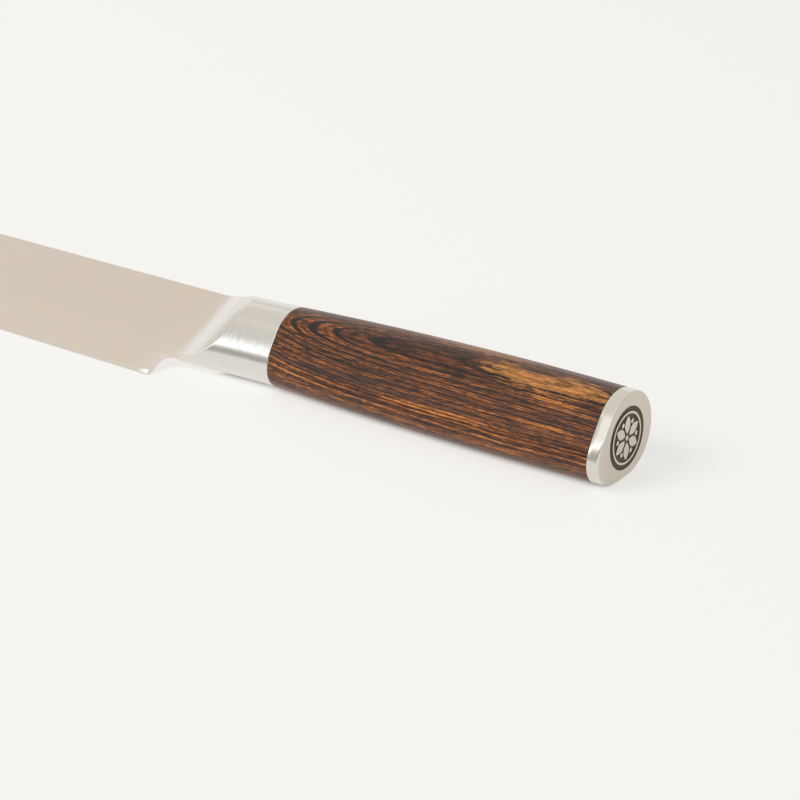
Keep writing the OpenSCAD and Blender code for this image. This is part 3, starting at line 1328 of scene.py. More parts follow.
    def lines(self, bench: FinishBench, grain: Grain) -> bpy.types.NodeSocket:
        """Share of black in the dark lines of the veneers.

        Args:
            bench: Bench of the material.
            grain: Random values of the wood.

        Returns:
            The share.
        """
        fray = bench.mixture((grain.coarse, grain.medium, grain.long_thread), self.fray_shares)
        ragged = bench.plus(grain.within, fray)
        width = bench.plus(self.line_width, bench.times(grain.width, self.line_spread))
        start = bench.steps(bench.math("DIVIDE", ragged, width), *self.line_fade, 1.0, 0.0)
        glue = bench.steps(ragged, *self.glue_fade)
        inner_place = bench.plus(self.inner_place, bench.times(grain.tone, self.inner_spread))
        off_inner = bench.math("ABSOLUTE", bench.math("SUBTRACT", ragged, inner_place))
        inner = bench.times(bench.steps(off_inner, *self.inner_fade, 1.0, 0.0), self.inner_share)
        dark = bench.math("MAXIMUM", bench.math("MAXIMUM", start, glue), inner)
        depth = bench.plus(
            self.line_depth,
            bench.times(grain.cloud, self.line_cloud),
            bench.times(grain.thread, self.line_thread),
            bench.steps(bench.x, *self.bolster_fade, 0.0, self.bolster_depth),
        )
        share = bench.times(dark, depth, bench.plus(1.0, self.clearing.on(bench)))
        return bench.math("MAXIMUM", bench.math("MINIMUM", share, self.line_most), 0.0)

    def lay(self, bench: FinishBench) -> bpy.types.Material:
        """Lay stain, patches, dark lines, pores, a painted haze along the belly and the finish over them.

        Args:
            bench: Bench of the material.

        Returns:
            The finished material.
        """
        grain = self.grain(bench)
        colour = bench.blend(self.lines(bench, grain), self.stained(bench, grain), self.black)
        deep = bench.plus(grain.medium, bench.times(grain.long_thread, self.pore_long))
        pores = bench.steps(deep, *self.pore_fade)
        colour = bench.blend(bench.times(pores, self.pore_share), colour, self.black)
        light = bench.plus(
            1.0,
            bench.times(grain.thread, self.thread_light),
            # Painted light: lighter towards the belly
            bench.steps(bench.z, *self.painted_belly_fade, 0.0, self.painted_belly_haze),
        )
        height = bench.mixture((grain.thread, pores), (self.thread_relief, self.pore_relief))
        return bench.surface(
            bench.shade(colour, light),
            bench.plus(self.roughness, bench.times(grain.fibre, self.roughness_swing)),
            bench.bump(height, self.relief_depth, self.relief_strength),
            Specular_IOR_Level=self.specular,
            Sheen_Weight=self.sheen,
            Sheen_Roughness=self.sheen_roughness,
        )


@dataclass(frozen=True)
class MottledFinish(Finish):
    """One even colour with a faint mottle, and a relief where it has a depth."""

    tint: Colour
    fineness: Triple
    roughness: float
    swing: float
    detail: float = 3.0
    harshness: float = 0.5
    metallic: float = 0.0
    depth: float = 0.0

    def lay(self, bench: FinishBench) -> bpy.types.Material:
        """Lay the mottle.

        Args:
            bench: Bench of the material.

        Returns:
            The finished material.
        """
        mottle = bench.noise(bench.stretch(self.fineness), self.detail, self.harshness)
        light = bench.plus(1 - self.swing, bench.times(mottle, 2 * self.swing))
        relief = bench.bump(mottle, self.depth) if self.depth else None
        return bench.surface(bench.shade(self.tint, light), self.roughness, relief, Metallic=self.metallic)


BOLSTER_SATIN = GroundSteel(
    "bolster_satin",
    srgb(226, 224, 219),
    Brushing.ROUND_HANDLE,
    roughness=0.2,
    roughness_swing=0.1,
    mark_depth=0.001,
    mark_contrast=0.05,
    cloud_contrast=0.03,
    mark_lean=0.09,
)
BLADE_SATIN = GroundSteel(
    "blade_satin",
    srgb(226, 219, 210),
    Brushing.ACROSS_BLADE,
    roughness=0.3,
    roughness_swing=0.04,
    mark_depth=0.0006,
    mark_contrast=0.03,
    cloud_contrast=0.03,
    # painted reflection: warmer and greyer clouds in the blade's tone
    painted_reflection_warmth=1.0,
    # painted reflection: lighter tone low on the blade
    painted_light_below=0.035,
    root=BOLSTER_SATIN,
)
CAP_SATIN = GroundSteel(
    "cap_satin",
    srgb(224, 221, 215),
    Brushing.ROUND_HANDLE,
    roughness=0.22,
    roughness_swing=0.08,
    mark_depth=0.001,
    mark_contrast=0.05,
    cloud_contrast=0.03,
    mark_lean=0.06,
)
# Cap face: brushed across, with a darker copy of the cap's satin as painted shade that stands in for the
# shadowed table it mirrors
CAP_FACE_SHADED_SATIN = GroundSteel(
    "cap_face_painted_shade",
    srgb(208, 201, 189),
    Brushing.ACROSS_FACE,
    roughness=0.33,
    roughness_swing=0.05,
    mark_depth=0.001,
    mark_contrast=0.06,
    cloud_contrast=0.04,
)
MACHINED_STEEL = GroundSteel("machined_steel", srgb(198, 198, 200), Brushing.LATHE_TURNED, roughness=0.34)
# Steel darkened by etching, and the thin copper-coloured line where the etching stops
ETCHED_STEEL = MottledFinish(
    "etched_dark", srgb(72, 62, 50), (6.0, 6.0, 6.0), roughness=0.5, swing=0.25,
    harshness=0.6, metallic=0.4, depth=0.01,
)
HEAT_TINT = MottledFinish(
    "heat_tint", srgb(150, 104, 72), (2.0, 2.0, 2.0), roughness=0.35, swing=0.3,
    detail=2.0, metallic=0.8,
)
CURED_RESIN = MottledFinish("cured_resin", srgb(196, 164, 104), (0.3, 0.5, 0.5), roughness=0.18, swing=0.2)


@dataclass
class BladeWork:
    """Blade with ricasso, notch, heel, tapering faces and cutting bevel, and its flat tang."""

    bench: Bench
    finish: GroundSteel = BLADE_SATIN
    crease: float = 24.0
    corner: float = 0.25
    edge_corner: float = 0.02
    land_slope: float = 1.2
    least_half: float = 0.01
    root_stations: int = 26
    notch_stations: int = 16
    heel_stations: int = 12
    edge_stations: int = 230
    corner_rows: int = 5
    bevel_rows: int = 7
    face_rows: int = 40
    tang_overlap: float = 0.5

    def stations(self) -> tuple[np.ndarray, np.ndarray]:
        """Places along the blade and the height of its lower side there.

        Returns:
            x of each section, and the height of its lower side.
        """
        form = self.bench.form
        root = np.linspace(form.bolster_length, form.choil_x, self.root_stations, endpoint=False)
        turn = np.radians(np.linspace(90, 0, self.notch_stations))
        notch_x = form.choil_x + form.choil_radius * np.cos(turn)
        notch_z = -form.ricasso_z - form.choil_radius * (1 - np.sin(turn))
        back = np.linspace(0, 1, self.heel_stations + 1)[1:-1]
        heel_x = notch_x[-1] + (form.heel_x - notch_x[-1]) * back
        heel_z = notch_z[-1] + (form.edge_z - notch_z[-1]) * back
        edge_x = form.heel_x + form.edge_length * np.linspace(0, 1, self.edge_stations)
        x = np.concatenate([root, notch_x, heel_x, edge_x])
        low = np.concatenate([np.full(root.size, -form.ricasso_z), notch_z, heel_z, form.edge_line(edge_x)])
        return x, low

    def half_section(self, x: float, low: float) -> tuple[np.ndarray, np.ndarray]:
        """Half of a section, from its lower side up to the spine.

        Args:
            x: Place along the blade.
            low: Height of the lower side.

        Returns:
            Half thickness and height of each point.
        """
        form = self.bench.form
        here = np.array(x)
        top, thick = float(form.spine_line(here)), float(form.spine_thickness(here))
        high = top - low
        rise = min(form.bevel_height, form.bevel_share * high)
        soft = min(form.spine_ease, form.ease_share * high, form.ease_share * thick)
        shoulder = float(form.edge_line(here)) + rise
        shoulder_thick = float(form.shoulder_thickness(here))
        behind = x < form.heel_x
        fade = min(1.0, max(0.0, (low - form.edge_z) / (-form.ricasso_z - form.edge_z)))
        corner = self.edge_corner + (self.corner - self.edge_corner) * (fade if behind else 0.0)
        wall = fade**form.notch_fade if behind else 0.0
        land = form.edge_land + (form.spine_thick - form.edge_land) * wall
        turn = np.linspace(0, math.pi / 2, self.corner_rows)
        foot = low + corner
        bevel_top = max(shoulder, foot + corner)
        z = np.concatenate([
            low + corner * (1 - np.cos(turn)),
            np.linspace(foot, bevel_top, self.bevel_rows)[1:],
            np.linspace(bevel_top, top - soft, self.face_rows)[1:],
            top - soft + soft * np.sin(turn[1:]),
        ])
        body = shoulder_thick + (thick - shoulder_thick) * (z - shoulder) / (top - shoulder)
        full = body
        if shoulder > low:
            bevel = form.edge_land + (shoulder_thick - form.edge_land) * (z - low) / (shoulder - low)
            full = np.where(z >= shoulder, body, bevel)
        half = np.minimum(full / 2, land / 2 + self.land_slope * (z - low))
        half = half - (round_off(z - low, corner) if behind else 0.0) - round_off(top - z, soft)
        return np.maximum(half, self.least_half), z

    def rings(self) -> np.ndarray:
        """All sections of the blade as closed rings.

        Returns:
            Points as rings, points round a ring, and x, y and z.
        """
        form = self.bench.form
        rings = []
        for x, low in zip(*self.stations()):
            half, z = self.half_section(float(x), float(low))
            past = (x - form.bolster_length) / (form.choil_x - form.bolster_length)
            lean = form.lean * (1 - smooth_step(past))
            along = x - z * lean
            half = half + form.scoop_standoff(along, z)
            left = np.stack([along, half, z], axis=1)
            right = np.stack([along, -half, z], axis=1)[::-1]
            rings.append(np.concatenate([left, right]))
        return np.array(rings)

    def build(self) -> bpy.types.Object:
        """Build, dress and seat the blade.

        Returns:
            The blade.
        """
        shell = bmesh.new()
        self.bench.skin(shell, self.rings())
        self.bench.tang(shell, self.bench.form.bolster_length + self.tang_overlap)
        blade = self.bench.piece("blade_forged", shell, self.crease)
        blade.data.materials.append(self.finish.material(self.bench.back))
        return self.bench.finish(blade, "blade", Slot.BLADE)


@dataclass
class BolsterWork:
    """Steel bolster whose two scoops run out onto the blade, slotted for the tang."""

    bench: Bench
    finish: GroundSteel = BOLSTER_SATIN
    crease: float = 40.0
    rear_edge: float = 0.14
    front_edge: float = 0.05
    scoop_edge: float = 0.2
    edge_turns: tuple[float, ...] = (0.0, 22.0, 45.0, 67.0, 90.0)
    stations: int = 170
    egg_points: tuple[int, int, int] = (130, 70, 80)
    passes: int = 3

    def rings(self) -> np.ndarray:
        """All sections of the bolster as closed rings.

        Returns:
            Points as rings, points round a ring, and x, y and z.
        """
        form = self.bench.form
        egg = EggSection(form, *self.egg_points)
        turns = np.radians(self.edge_turns)
        near = self.rear_edge * (1 - np.cos(turns))
        far = np.linspace(self.rear_edge, form.bolster_length - self.front_edge, self.stations)[1:]
        tip = form.bolster_length - self.front_edge * (1 - np.sin(turns[1:]))
        share = np.concatenate([near, far, tip]) / form.bolster_length
        count = egg.layout()[0].size
        x = np.repeat(share[:, None] * form.bolster_length, count, axis=1)
        inset = round_off(x, self.rear_edge)
        # The front leans with z, and z follows x, so the two settle in a few passes
        for _ in range(self.passes):
            y, z = egg.outline(x, inset)
            x = share[:, None] * form.front_x(z)
        ahead = form.front_x(z) - x
        wall = form.spine_thick / 2 + form.scoop_standoff(x, z)
        width = smooth_min(np.abs(y), wall, self.scoop_edge)
        width = np.maximum(width - round_off(ahead, self.front_edge), 0.0)
        return np.stack([x, np.sign(y) * width, z], axis=2)

    def build(self) -> bpy.types.Object:
        """Build, dress and seat the bolster.

        Returns:
            The bolster.
        """
        form = self.bench.form
        shell = bmesh.new()
        self.bench.skin(shell, self.rings())
        bolster = self.bench.piece("bolster_scooped", shell, self.crease)
        bolster.data.materials.append(self.finish.material(self.bench.back))
        slot = bmesh.new()
        self.bench.tang(slot, form.bolster_length + 2 * NICK, form.fit_gap)
        self.bench.cut(bolster, slot, self.crease)
        return self.bench.finish(bolster, "bolster", Slot.BOLSTER)


@dataclass
class HandleWork:
    """Laminated wooden handle, bored for tang, rod, nut and pins."""

    bench: Bench
    finish: LaminatedWood = LaminatedWood()
    crease: float = 40.0
    end_edge: float = 0.16
    stations: int = 160

    def rings(self) -> np.ndarray:
        """All sections of the wood as closed rings.

        Returns:
            Points as rings, points round a ring, and x, y and z.
        """
        form = self.bench.form
        egg = EggSection(form)
        corner = self.end_edge * (1 - np.cos(np.radians(QUARTER_TURN)))
        middle = np.linspace(self.end_edge, form.wood_length - self.end_edge, self.stations)[1:-1]
        depth = np.concatenate([corner, middle, form.wood_length - corner[::-1]])
        count = egg.layout()[0].size
        x = np.repeat(-depth[:, None], count, axis=1)
        inset = round_off(-x, self.end_edge) + round_off(x + form.wood_length, self.end_edge)
        y, z = egg.outline(x, inset)
        return np.stack([x, y, z], axis=2)

    def rooms(self) -> list[bmesh.types.BMesh]:
        """Slot, bore, counterbore and pin holes of the wood.

        Returns:
            Each room as a closed mesh.
        """
        form = self.bench.form
        half = (form.spine_thick - form.tang_thinning) / 2 + form.bedding
        tall = form.tang_height / 2 + form.bedding
        depth = form.tang_in_wood + form.rod_bedding
        slot = bmesh.new()
        corners = [(NICK, -half, tall), (-depth, -half, tall), (-depth, -half, -tall), (NICK, -half, -tall)]
        self.bench.prism(slot, corners, Vector((0, 2 * half, 0)))
        seat = -form.wood_length + form.counterbore
        front = -form.tang_in_wood + form.rod_fork + form.rod_bedding
        bore = bmesh.new()
        self.bench.cylinder(bore, seat - NICK / 2, front, form.rod_diameter + 2 * form.rod_bedding)
        mouth = bmesh.new()
        wide = form.washer_diameter + 2 * form.rod_bedding
        self.bench.cylinder(mouth, -form.wood_length - NICK, seat, wide)
        rooms = [slot, bore, mouth]
        for side in (-1, 1):
            hole = bmesh.new()
            end = -form.wood_length + form.pin_length - form.pin_in_cap - form.fit_gap
            self.bench.cylinder(hole, -form.wood_length - NICK, end, form.pin_diameter + 2 * form.fit_gap,
                                side * form.pin_z)
            rooms.append(hole)
        return rooms

    def build(self) -> bpy.types.Object:
        """Build, dress and seat the wood.

        Returns:
            The wood.
        """
        shell = bmesh.new()
        self.bench.skin(shell, self.rings())
        wood = self.bench.piece("handle_laminated", shell, self.crease)
        wood.data.materials.append(self.finish.material(self.bench.back))
        for room in self.rooms():
            self.bench.cut(wood, room, self.crease)
        return self.bench.finish(wood, "handle_block", Slot.WOOD)


class CapPart(IntEnum):
    """Places on the cap that differ in finish, by their number in its list of materials."""

    SIDE = 0
    DISC = 1
    WALL = 2
    FACE = 3


@dataclass
class CapWork:
    """Steel end cap with an etched disc in its recess and a raised rosette."""

    bench: Bench
    side: GroundSteel = CAP_SATIN
    disc: MottledFinish = ETCHED_STEEL
    wall: MottledFinish = HEAT_TINT
    # painted shade: the face's darker satin
    face: GroundSteel = CAP_FACE_SHADED_SATIN
    crease: float = 35.0
    front_edge: float = 0.14
    side_rows: Triple = (0.35, 0.7, 0.97)
    rim_turns: int = 12
    face_rows: int = 5
    lip: float = 0.12
    petals: int = 6
    petal_from: float = 1.15
    petal_to: float = 6.0
    petal_width: float = 2.7
    petal_round: float = 0.85
    petal_points: int = 17
    dot_at: float = 4.6
    dot_radius: float = 0.62
    hub_radius: float = 0.72
    ring_from: float = 6.45
    ring_to: float = 7.05
    ring_points: int = 160
    below_face: float = 0.01

    def side_rings(self) -> np.ndarray:
        """Rings from the wood to the rear face, with a softer edge at the belly.

        Returns:
            Points as rings, points round a ring, and x, y and z.
        """
        form = self.bench.form
        egg = EggSection(form)
        flat = np.full((1, egg.layout()[0].size), -form.wood_length)
        _, z = egg.outline(flat)
        softness = smooth_step((form.rim_soft_z - z) / form.rim_fade)
        soft = form.cap_edge + (form.cap_belly - form.cap_edge) * softness
        rows = []
        for turn in np.radians(QUARTER_TURN):
            depth = self.front_edge * (1 - math.cos(turn))
            x = flat - depth
            rows.append((x, round_off(np.full_like(x, depth), self.front_edge)))
        for part in self.side_rows:
            rows.append((flat - part * (form.cap_thick - soft), np.zeros_like(flat)))
        for turn in np.radians(np.linspace(0, 90, self.rim_turns)):
            x = form.cap_x + soft * (1 - math.sin(turn))
            rows.append((x, soft * (1 - math.cos(turn))))
        rings = []
        for x, inset in rows:
            y, z = egg.outline(x, inset)
            rings.append(np.stack([x[0], y[0], z[0]], axis=1))
        return np.array(rings)

    def face_rings(self, rim: np.ndarray) -> np.ndarray:
        """Rings over the flat rear face, from its rim to the lip of the recess.

        Args:
            rim: Ring where the rounded edge ends.

        Returns:
            Points as rings, points round a ring, and x, y and z.
        """
        form = self.bench.form
        angle = np.arctan2(rim[:, 2] - form.recess_z, rim[:, 1])
        radius = form.recess_diameter / 2 + self.lip
        circle = np.stack([
            np.full(angle.size, form.cap_x),
            radius * np.cos(angle),
            form.recess_z + radius * np.sin(angle),
        ], axis=1)
        shares = np.linspace(0, 1, self.face_rows + 1)[1:]
        return np.array([rim + (circle - rim) * share for share in shares])

    def recess_rings(self, circle: np.ndarray) -> np.ndarray:
        """Rings down the rounded lip and wall of the recess.

        Args:
            circle: Ring where the lip begins.

        Returns:
            Points as rings, points round a ring, and x, y and z.
        """
        form = self.bench.form
        centre = np.array([0.0, 0.0, form.recess_z])
        outward = circle - centre
        outward[:, 0] = 0.0
        unit = outward / np.linalg.norm(outward, axis=1, keepdims=True)
        rings = []
        for turn in np.radians(QUARTER_TURN[1:]):
            inward = self.lip * math.sin(turn)
            down = self.lip * (1 - math.cos(turn))
            rings.append(circle - unit * inward + np.array([down, 0.0, 0.0]))
        floor = rings[-1].copy()
        floor[:, 0] = form.cap_x + form.recess_depth
        rings.append(floor)
        return np.array(rings)

    def petal_outline(self, turn: float) -> list[Pair]:
        """Pointed petal made of two arcs, turned round the disc's centre.

        Args:
            turn: Direction of its tip, as an angle.

        Returns:
            y and z of each point.
        """
        length = self.petal_to - self.petal_from
        sides = []
        for side in (1, -1):
            for share in np.linspace(0, 1, self.petal_points, endpoint=False):
                part = share if side == 1 else 1 - share
                swell = self.petal_width / 2 * math.sin(math.pi * part) ** self.petal_round
                sides.append((self.petal_from + length * part, side * swell))
        cosine, sine = math.cos(turn), math.sin(turn)
        return [(u * cosine - v * sine, u * sine + v * cosine) for u, v in sides]

    @staticmethod
    def circle_outline(centre: Pair, radius: float, sides: int = 40) -> list[Pair]:
        """Round outline on the disc."""
        angles = np.linspace(0, 2 * math.pi, sides, endpoint=False)
        return [(centre[0] + radius * math.cos(a), centre[1] + radius * math.sin(a)) for a in angles]

    def rosette(self) -> list[list[Pair]]:
        """Outlines of the rosette's petals, dots and hub.

        Returns:
            y and z of the points of each outline.
        """
        outlines = [self.circle_outline((0.0, 0.0), self.hub_radius)]
        for index in range(self.petals):
            turn = 2 * math.pi * (index + 0.5) / self.petals
            between = turn + math.pi / self.petals
            outlines.append(self.petal_outline(turn))
            spot = (self.dot_at * math.cos(between), self.dot_at * math.sin(between))
            outlines.append(self.circle_outline(spot, self.dot_radius))
        return outlines

    def raise_ring(self, shell: bmesh.types.BMesh, floor: float, top: float) -> None:
        """Add the thin raised ring round the rosette.

        Args:
            shell: Mesh that it is added to.
            floor: x of the etched disc.
            top: x of the ring's upper side.
        """
        form = self.bench.form
        angles = np.linspace(0, 2 * math.pi, self.ring_points, endpoint=False)
        inner, outer = self.ring_from, self.ring_to
        rows = []
        for radius, x in ((outer, floor), (outer, top), (inner, top), (inner, floor)):
            ring = [(x, radius * math.cos(a), form.recess_z + radius * math.sin(a)) for a in angles]
            rows.append([shell.verts.new(point) for point in ring])
        walls = zip(rows, rows[1:] + rows[:1], (CapPart.WALL, CapPart.FACE, CapPart.WALL, CapPart.DISC))
        for low, high, part in walls:
            for index in range(len(angles)):
                after = (index + 1) % len(angles)
                face = shell.faces.new((low[index], low[after], high[after], high[index]))
                face.material_index = part

    def raised_parts(self) -> bmesh.types.BMesh:
        """Rosette and ring that stand on the etched disc.

        Returns:
            Closed mesh of each part.
        """
        form = self.bench.form
        shell = bmesh.new()
        floor, top = form.cap_x + form.recess_depth, form.cap_x + self.below_face
        for outline in self.rosette():
            points = [(floor, y, form.recess_z + z) for y, z in outline]
            faces = self.bench.prism(shell, points, Vector((top - floor, 0, 0)))
            for flat in faces[:2]:
                flat.material_index = CapPart.FACE
            for wall in faces[2:]:
                wall.material_index = CapPart.WALL
        self.raise_ring(shell, floor, top)
        return shell

    def build(self) -> bpy.types.Object:
        """Build, dress and seat the end cap.

        Returns:
            The end cap.
        """
        form = self.bench.form
        shell = bmesh.new()
        sides = self.side_rings()
        face = self.face_rings(sides[-1])
        recess = self.recess_rings(face[-1])
        self.bench.skin(shell, np.concatenate([sides, face, recess]))
        shell.faces.ensure_lookup_table()
        # The skin's last two faces are its ends; the rows before them run from the rim to the disc
        around = sides.shape[1]
        rows = len(recess) + len(face) + self.rim_turns // 2
        shell.faces[-1].material_index = CapPart.DISC
        for wall in shell.faces[-2 - around:-2]:
            wall.material_index = CapPart.WALL
        for flat in shell.faces[-2 - around * rows:-2 - around]:
            flat.material_index = CapPart.FACE
        cap = self.bench.piece("end_cap_etched", shell, self.crease)
        for finish in (self.side, self.disc, self.wall, self.face):
            cap.data.materials.append(finish.material(self.bench.back))
        for side in (-1, 1):
            hole = bmesh.new()
            deep = -form.wood_length - form.pin_in_cap - form.fit_gap
            self.bench.cylinder(hole, deep, -form.wood_length + NICK, form.pin_diameter + 2 * form.fit_gap,
                                side * form.pin_z)
            self.bench.cut(cap, hole, self.crease)
        self.bench.add(cap, self.raised_parts(), self.crease)
        return self.bench.finish(cap, "end_cap", Slot.CAP)


@dataclass
class HiddenFittings:
    """Tang rod, washer, nut, pins and resin inside the handle, which keep their CAD meshes."""

    bench: Bench
    nodes: dict[str, bpy.types.Object]
    steel_nodes: tuple[str, ...] = ("tang_rod", "rod_washer", "rod_nut", "cap_pins")
    resin_node: str = "tang_bedding"

    def dress(self) -> list[str]:
        """Give each hidden piece its finish.

        Returns:
            Names of the pieces.
        """
        plain = MACHINED_STEEL.material(self.bench.back)
        resin = CURED_RESIN.material(self.bench.back)
        names = [*self.steel_nodes, self.resin_node]
        for name in names:
            piece = self.nodes[name]
            piece.data.materials.clear()
            piece.data.materials.append(resin if name == self.resin_node else plain)
        return names


@dataclass(frozen=True)
class Softbox:
    """Rectangular soft light aimed at one point, which shows in no reflection."""

    name: str
    turn: float
    height: float
    distance: float
    side: float
    radiance: float

    def build(self) -> None:
        """Hang the light."""
        lamp = bpy.data.lights.new(self.name, "AREA")
        lamp.shape = "SQUARE"
        lamp.size = self.side
        lamp.energy = self.radiance * math.pi * self.side**2
        hung = bpy.data.objects.new(self.name, lamp)
        turn, height = math.radians(self.turn), math.radians(self.height)
        flat = self.distance * math.cos(height)
        hung.location = (flat * math.cos(turn), flat * math.sin(turn), self.distance * math.sin(height))
        hung.rotation_euler = (-hung.location).to_track_quat("-Z", "Y").to_euler()
        hung.visible_camera = False
        hung.visible_glossy = False
        bpy.context.scene.collection.objects.link(hung)


@dataclass(frozen=True)
class Patch:
    """Part of the room that the steel mirrors, by its bounds in degrees."""

    colour: Colour
    turn: Pair
    height: Pair
    soft_turn: float
    soft_height: float
    slope: float = 0.0

    def over(self, bench: NodeBench, below: object, turn: object,
             height: object) -> bpy.types.NodeSocket:
        """Lay the patch over what is there.

        Args:
            bench: Nodes of the room.
            below: Colour under the patch.
            turn: Direction round the table in degrees.
            height: Direction above the table in degrees.

        Returns:
            The colour with the patch.
        """
        across = bench.window(turn, *self.turn, self.soft_turn)
        level = bench.math("SUBTRACT", height, bench.times(turn, self.slope))
        upward = bench.window(level, *self.height, self.soft_height)
        return bench.blend(bench.times(across, upward), below, self.colour)


@dataclass(frozen=True)
class Room:
    """Room round the table: an even dim sky that lights, and what polished steel mirrors."""

    sky: Colour = (0.36, 0.35, 0.335, 1.0)
    backdrop: Colour = (0.905, 0.9, 0.89, 1.0)
    # Colour of the walls by the height of the direction's unit vector
    walls: tuple[tuple[float, Colour], ...] = (
        (0.0, (0.96, 0.95, 0.93, 1.0)),
        (0.17, (0.82, 0.81, 0.79, 1.0)),
        (0.45, (0.78, 0.77, 0.74, 1.0)),
        (0.616, (0.85, 0.82, 0.75, 1.0)),
        (0.71, (0.87, 0.83, 0.77, 1.0)),
        (0.76, (0.82, 0.80, 0.77, 1.0)),
        (0.79, (0.857, 0.788, 0.726, 1.0)),
        (0.82, (0.80, 0.75, 0.68, 1.0)),
        (0.9, (0.86, 0.83, 0.78, 1.0)),
        (1.0, (1.0, 0.98, 0.95, 1.0)),
    )
    patches: tuple[Patch, ...] = (
        # Light wall ahead of the tip, seen in the scoops
        Patch((0.97, 0.96, 0.94, 1.0), (-80.0, -4.0), (-5.0, 18.0), 8.0, 6.0),
        Patch((1.06, 1.04, 1.02, 1.0), (-44.0, 4.0), (18.0, 40.0), 10.0, 8.0),
        # Darker ceiling over the softbox, and the lighter one beside it
        Patch((0.60, 0.58, 0.55, 1.0), (10.0, 52.0), (28.0, 38.0), 4.0, 2.0),
        Patch((1.46, 1.42, 1.35, 1.0), (49.5, 85.0), (40.2, 60.0), 3.0, 2.0),
        # The wall below and beside the softbox, then the softbox
        Patch((0.47, 0.44, 0.39, 1.0), (58.5, 95.0), (-12.0, 30.0), 5.0, 5.0),
        Patch((0.22, 0.21, 0.18, 1.0), (15.0, 58.0), (-12.0, 12.0), 8.0, 5.0),
        Patch((2.0, 2.03, 2.08, 1.0), (36.0, 59.5), (-40.5, -18.0), 3.0, 7.0, slope=1.0),
    )

    def mirrored(self, bench: NodeBench) -> bpy.types.NodeSocket:
        """Colour of the room as polished steel mirrors it.

        Args:
            bench: Bench of the node tree.

        Returns:
            The colour in each direction.
        """
        x, y, z = bench.split(bench.node("ShaderNodeTexCoord").outputs["Generated"])
        height = bench.math("DEGREES", bench.math("ARCSINE", z))
        turn = bench.math("DEGREES", bench.math("ARCTAN2", y, x))
        colour = bench.ramp(z, self.walls)
        for patch in self.patches:
            colour = patch.over(bench, colour, turn, height)
        return colour

    def build(self) -> None:
        """Hang the room round the table."""
        world = bpy.data.worlds.new("room")
        bpy.context.scene.world = world
        world.use_nodes = True
        bench = NodeBench(world.node_tree)
        path = bench.node("ShaderNodeLightPath")
        colour = bench.blend(path.outputs["Is Glossy Ray"], self.sky, self.mirrored(bench))
        colour = bench.blend(path.outputs["Is Camera Ray"], colour, self.backdrop)
        glow = bench.node("ShaderNodeBackground")
        bench.feed(glow.inputs["Color"], colour)
        out = bench.node("ShaderNodeOutputWorld")
        bench.feed(out.inputs["Surface"], glow.outputs[0])


@dataclass(frozen=True)
class PaleTable(Finish):
    """Matt paper with a painted glow that lifts the shadows round the knife; the glow fades in the narrow
    gap under the knife, as painted contact shade.
    """

    name: str = "pale_table"
    tint: Colour = (0.402, 0.4, 0.394, 1.0)
    # painted light: the paper's own glow
    glow: Colour = (0.652, 0.645, 0.627, 1.0)
    roughness: float = 0.9
    fineness: Triple = (0.004, 0.004, 0.004)
    swing: float = 0.01
    gap_reach: float = 0.0018
    gap_shade: float = 0.95
    gap_samples: int = 12

    def lay(self, bench: FinishBench) -> bpy.types.Material:
        """Lay the paper, its painted glow and the painted contact shade in it.

        Args:
            bench: Bench of the material.

        Returns:
            The finished material.
        """
        cloud = bench.noise(bench.stretch(self.fineness), 2.0)
        light = bench.plus(1 - self.swing, bench.times(cloud, 2 * self.swing))
        # Painted contact shade: the glow fades where the gap under the knife closes
        near = bench.node("ShaderNodeAmbientOcclusion", samples=self.gap_samples)
        near.inputs["Distance"].default_value = self.gap_reach
        closed = bench.math("SUBTRACT", 1.0, near.outputs["AO"])
        painted_contact_shade = bench.times(closed, closed, closed, closed, self.gap_shade)
        return bench.surface(
            bench.shade(self.tint, light), self.roughness, Specular_IOR_Level=0.0,
            Emission_Color=self.glow, Emission_Strength=bench.math("SUBTRACT", 1.0, painted_contact_shade),
        )


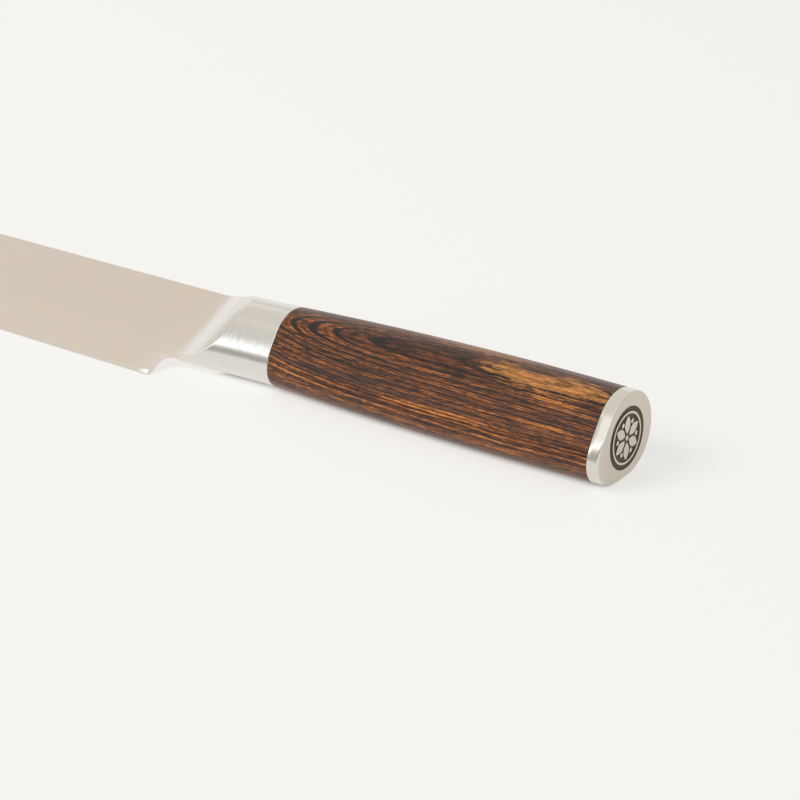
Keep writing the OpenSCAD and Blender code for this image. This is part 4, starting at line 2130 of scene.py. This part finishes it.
@dataclass
class Studio:
    """Pale table, one soft light, the room and the camera, whose place is in metres."""

    eye: Triple = (-0.50526, 0.58836, 0.34586)
    yaw: float = -55.719
    pitch: float = 25.576
    roll: float = -0.392
    lens: float = 135.0
    sensor: float = 36.0
    near_clip: float = 0.01
    far_clip: float = 30.0
    table_half: float = 4.0
    table_drop: float = 0.00001
    paper: PaleTable = PaleTable()
    key_light: Softbox = Softbox("key_light", turn=55.0, height=47.0, distance=2.2, side=1.4, radiance=3.7)

    def table(self) -> None:
        """Lay the table."""
        half, drop = self.table_half, -self.table_drop
        mesh = bpy.data.meshes.new("table")
        corners = [(-half, -half, drop), (half, -half, drop), (half, half, drop), (-half, half, drop)]
        mesh.from_pydata(corners, [], [(0, 1, 2, 3)])
        table = bpy.data.objects.new("table", mesh)
        bpy.context.scene.collection.objects.link(table)
        table.data.materials.append(self.paper.material(Matrix.Scale(1 / METRES, 4)))

    def camera(self) -> None:
        """Place the camera at the photograph's viewing angle."""
        yaw, pitch, roll = (math.radians(angle) for angle in (self.yaw, self.pitch, self.roll))
        ahead = Vector((math.cos(yaw) * math.cos(pitch), math.sin(yaw) * math.cos(pitch), -math.sin(pitch)))
        right = ahead.cross(Vector((0, 0, 1))).normalized()
        up = right.cross(ahead)
        turned_right = math.cos(roll) * right + math.sin(roll) * up
        turned_up = math.cos(roll) * up - math.sin(roll) * right
        view = bpy.data.cameras.new("camera")
        view.lens = self.lens
        view.sensor_width = self.sensor
        view.clip_start, view.clip_end = self.near_clip, self.far_clip
        camera = bpy.data.objects.new("camera", view)
        turn = Matrix((turned_right, turned_up, -ahead)).transposed()
        camera.matrix_world = Matrix.Translation(self.eye) @ turn.to_4x4()
        bpy.context.scene.collection.objects.link(camera)
        bpy.context.scene.camera = camera

    def build(self) -> None:
        """Set the whole studio up."""
        self.camera()
        self.table()
        Room().build()
        self.key_light.build()
        settings = bpy.context.scene.view_settings
        settings.view_transform = "Standard"
        settings.look = "None"


def main() -> None:
    """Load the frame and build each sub-assembly round it."""
    logging.basicConfig(level=logging.INFO, format="%(name)s: %(message)s")
    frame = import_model()
    Studio().build()
    bench = Bench(KnifeForm())
    for work in (BladeWork(bench), BolsterWork(bench), HandleWork(bench), CapWork(bench)):
        piece = work.build()
        log.info("%s: %d faces", piece.name, len(piece.data.polygons))
    for name in HiddenFittings(bench, frame["nodes"]).dress():
        log.info("%s keeps its CAD mesh", name)


if __name__ == "__main__":
    main()
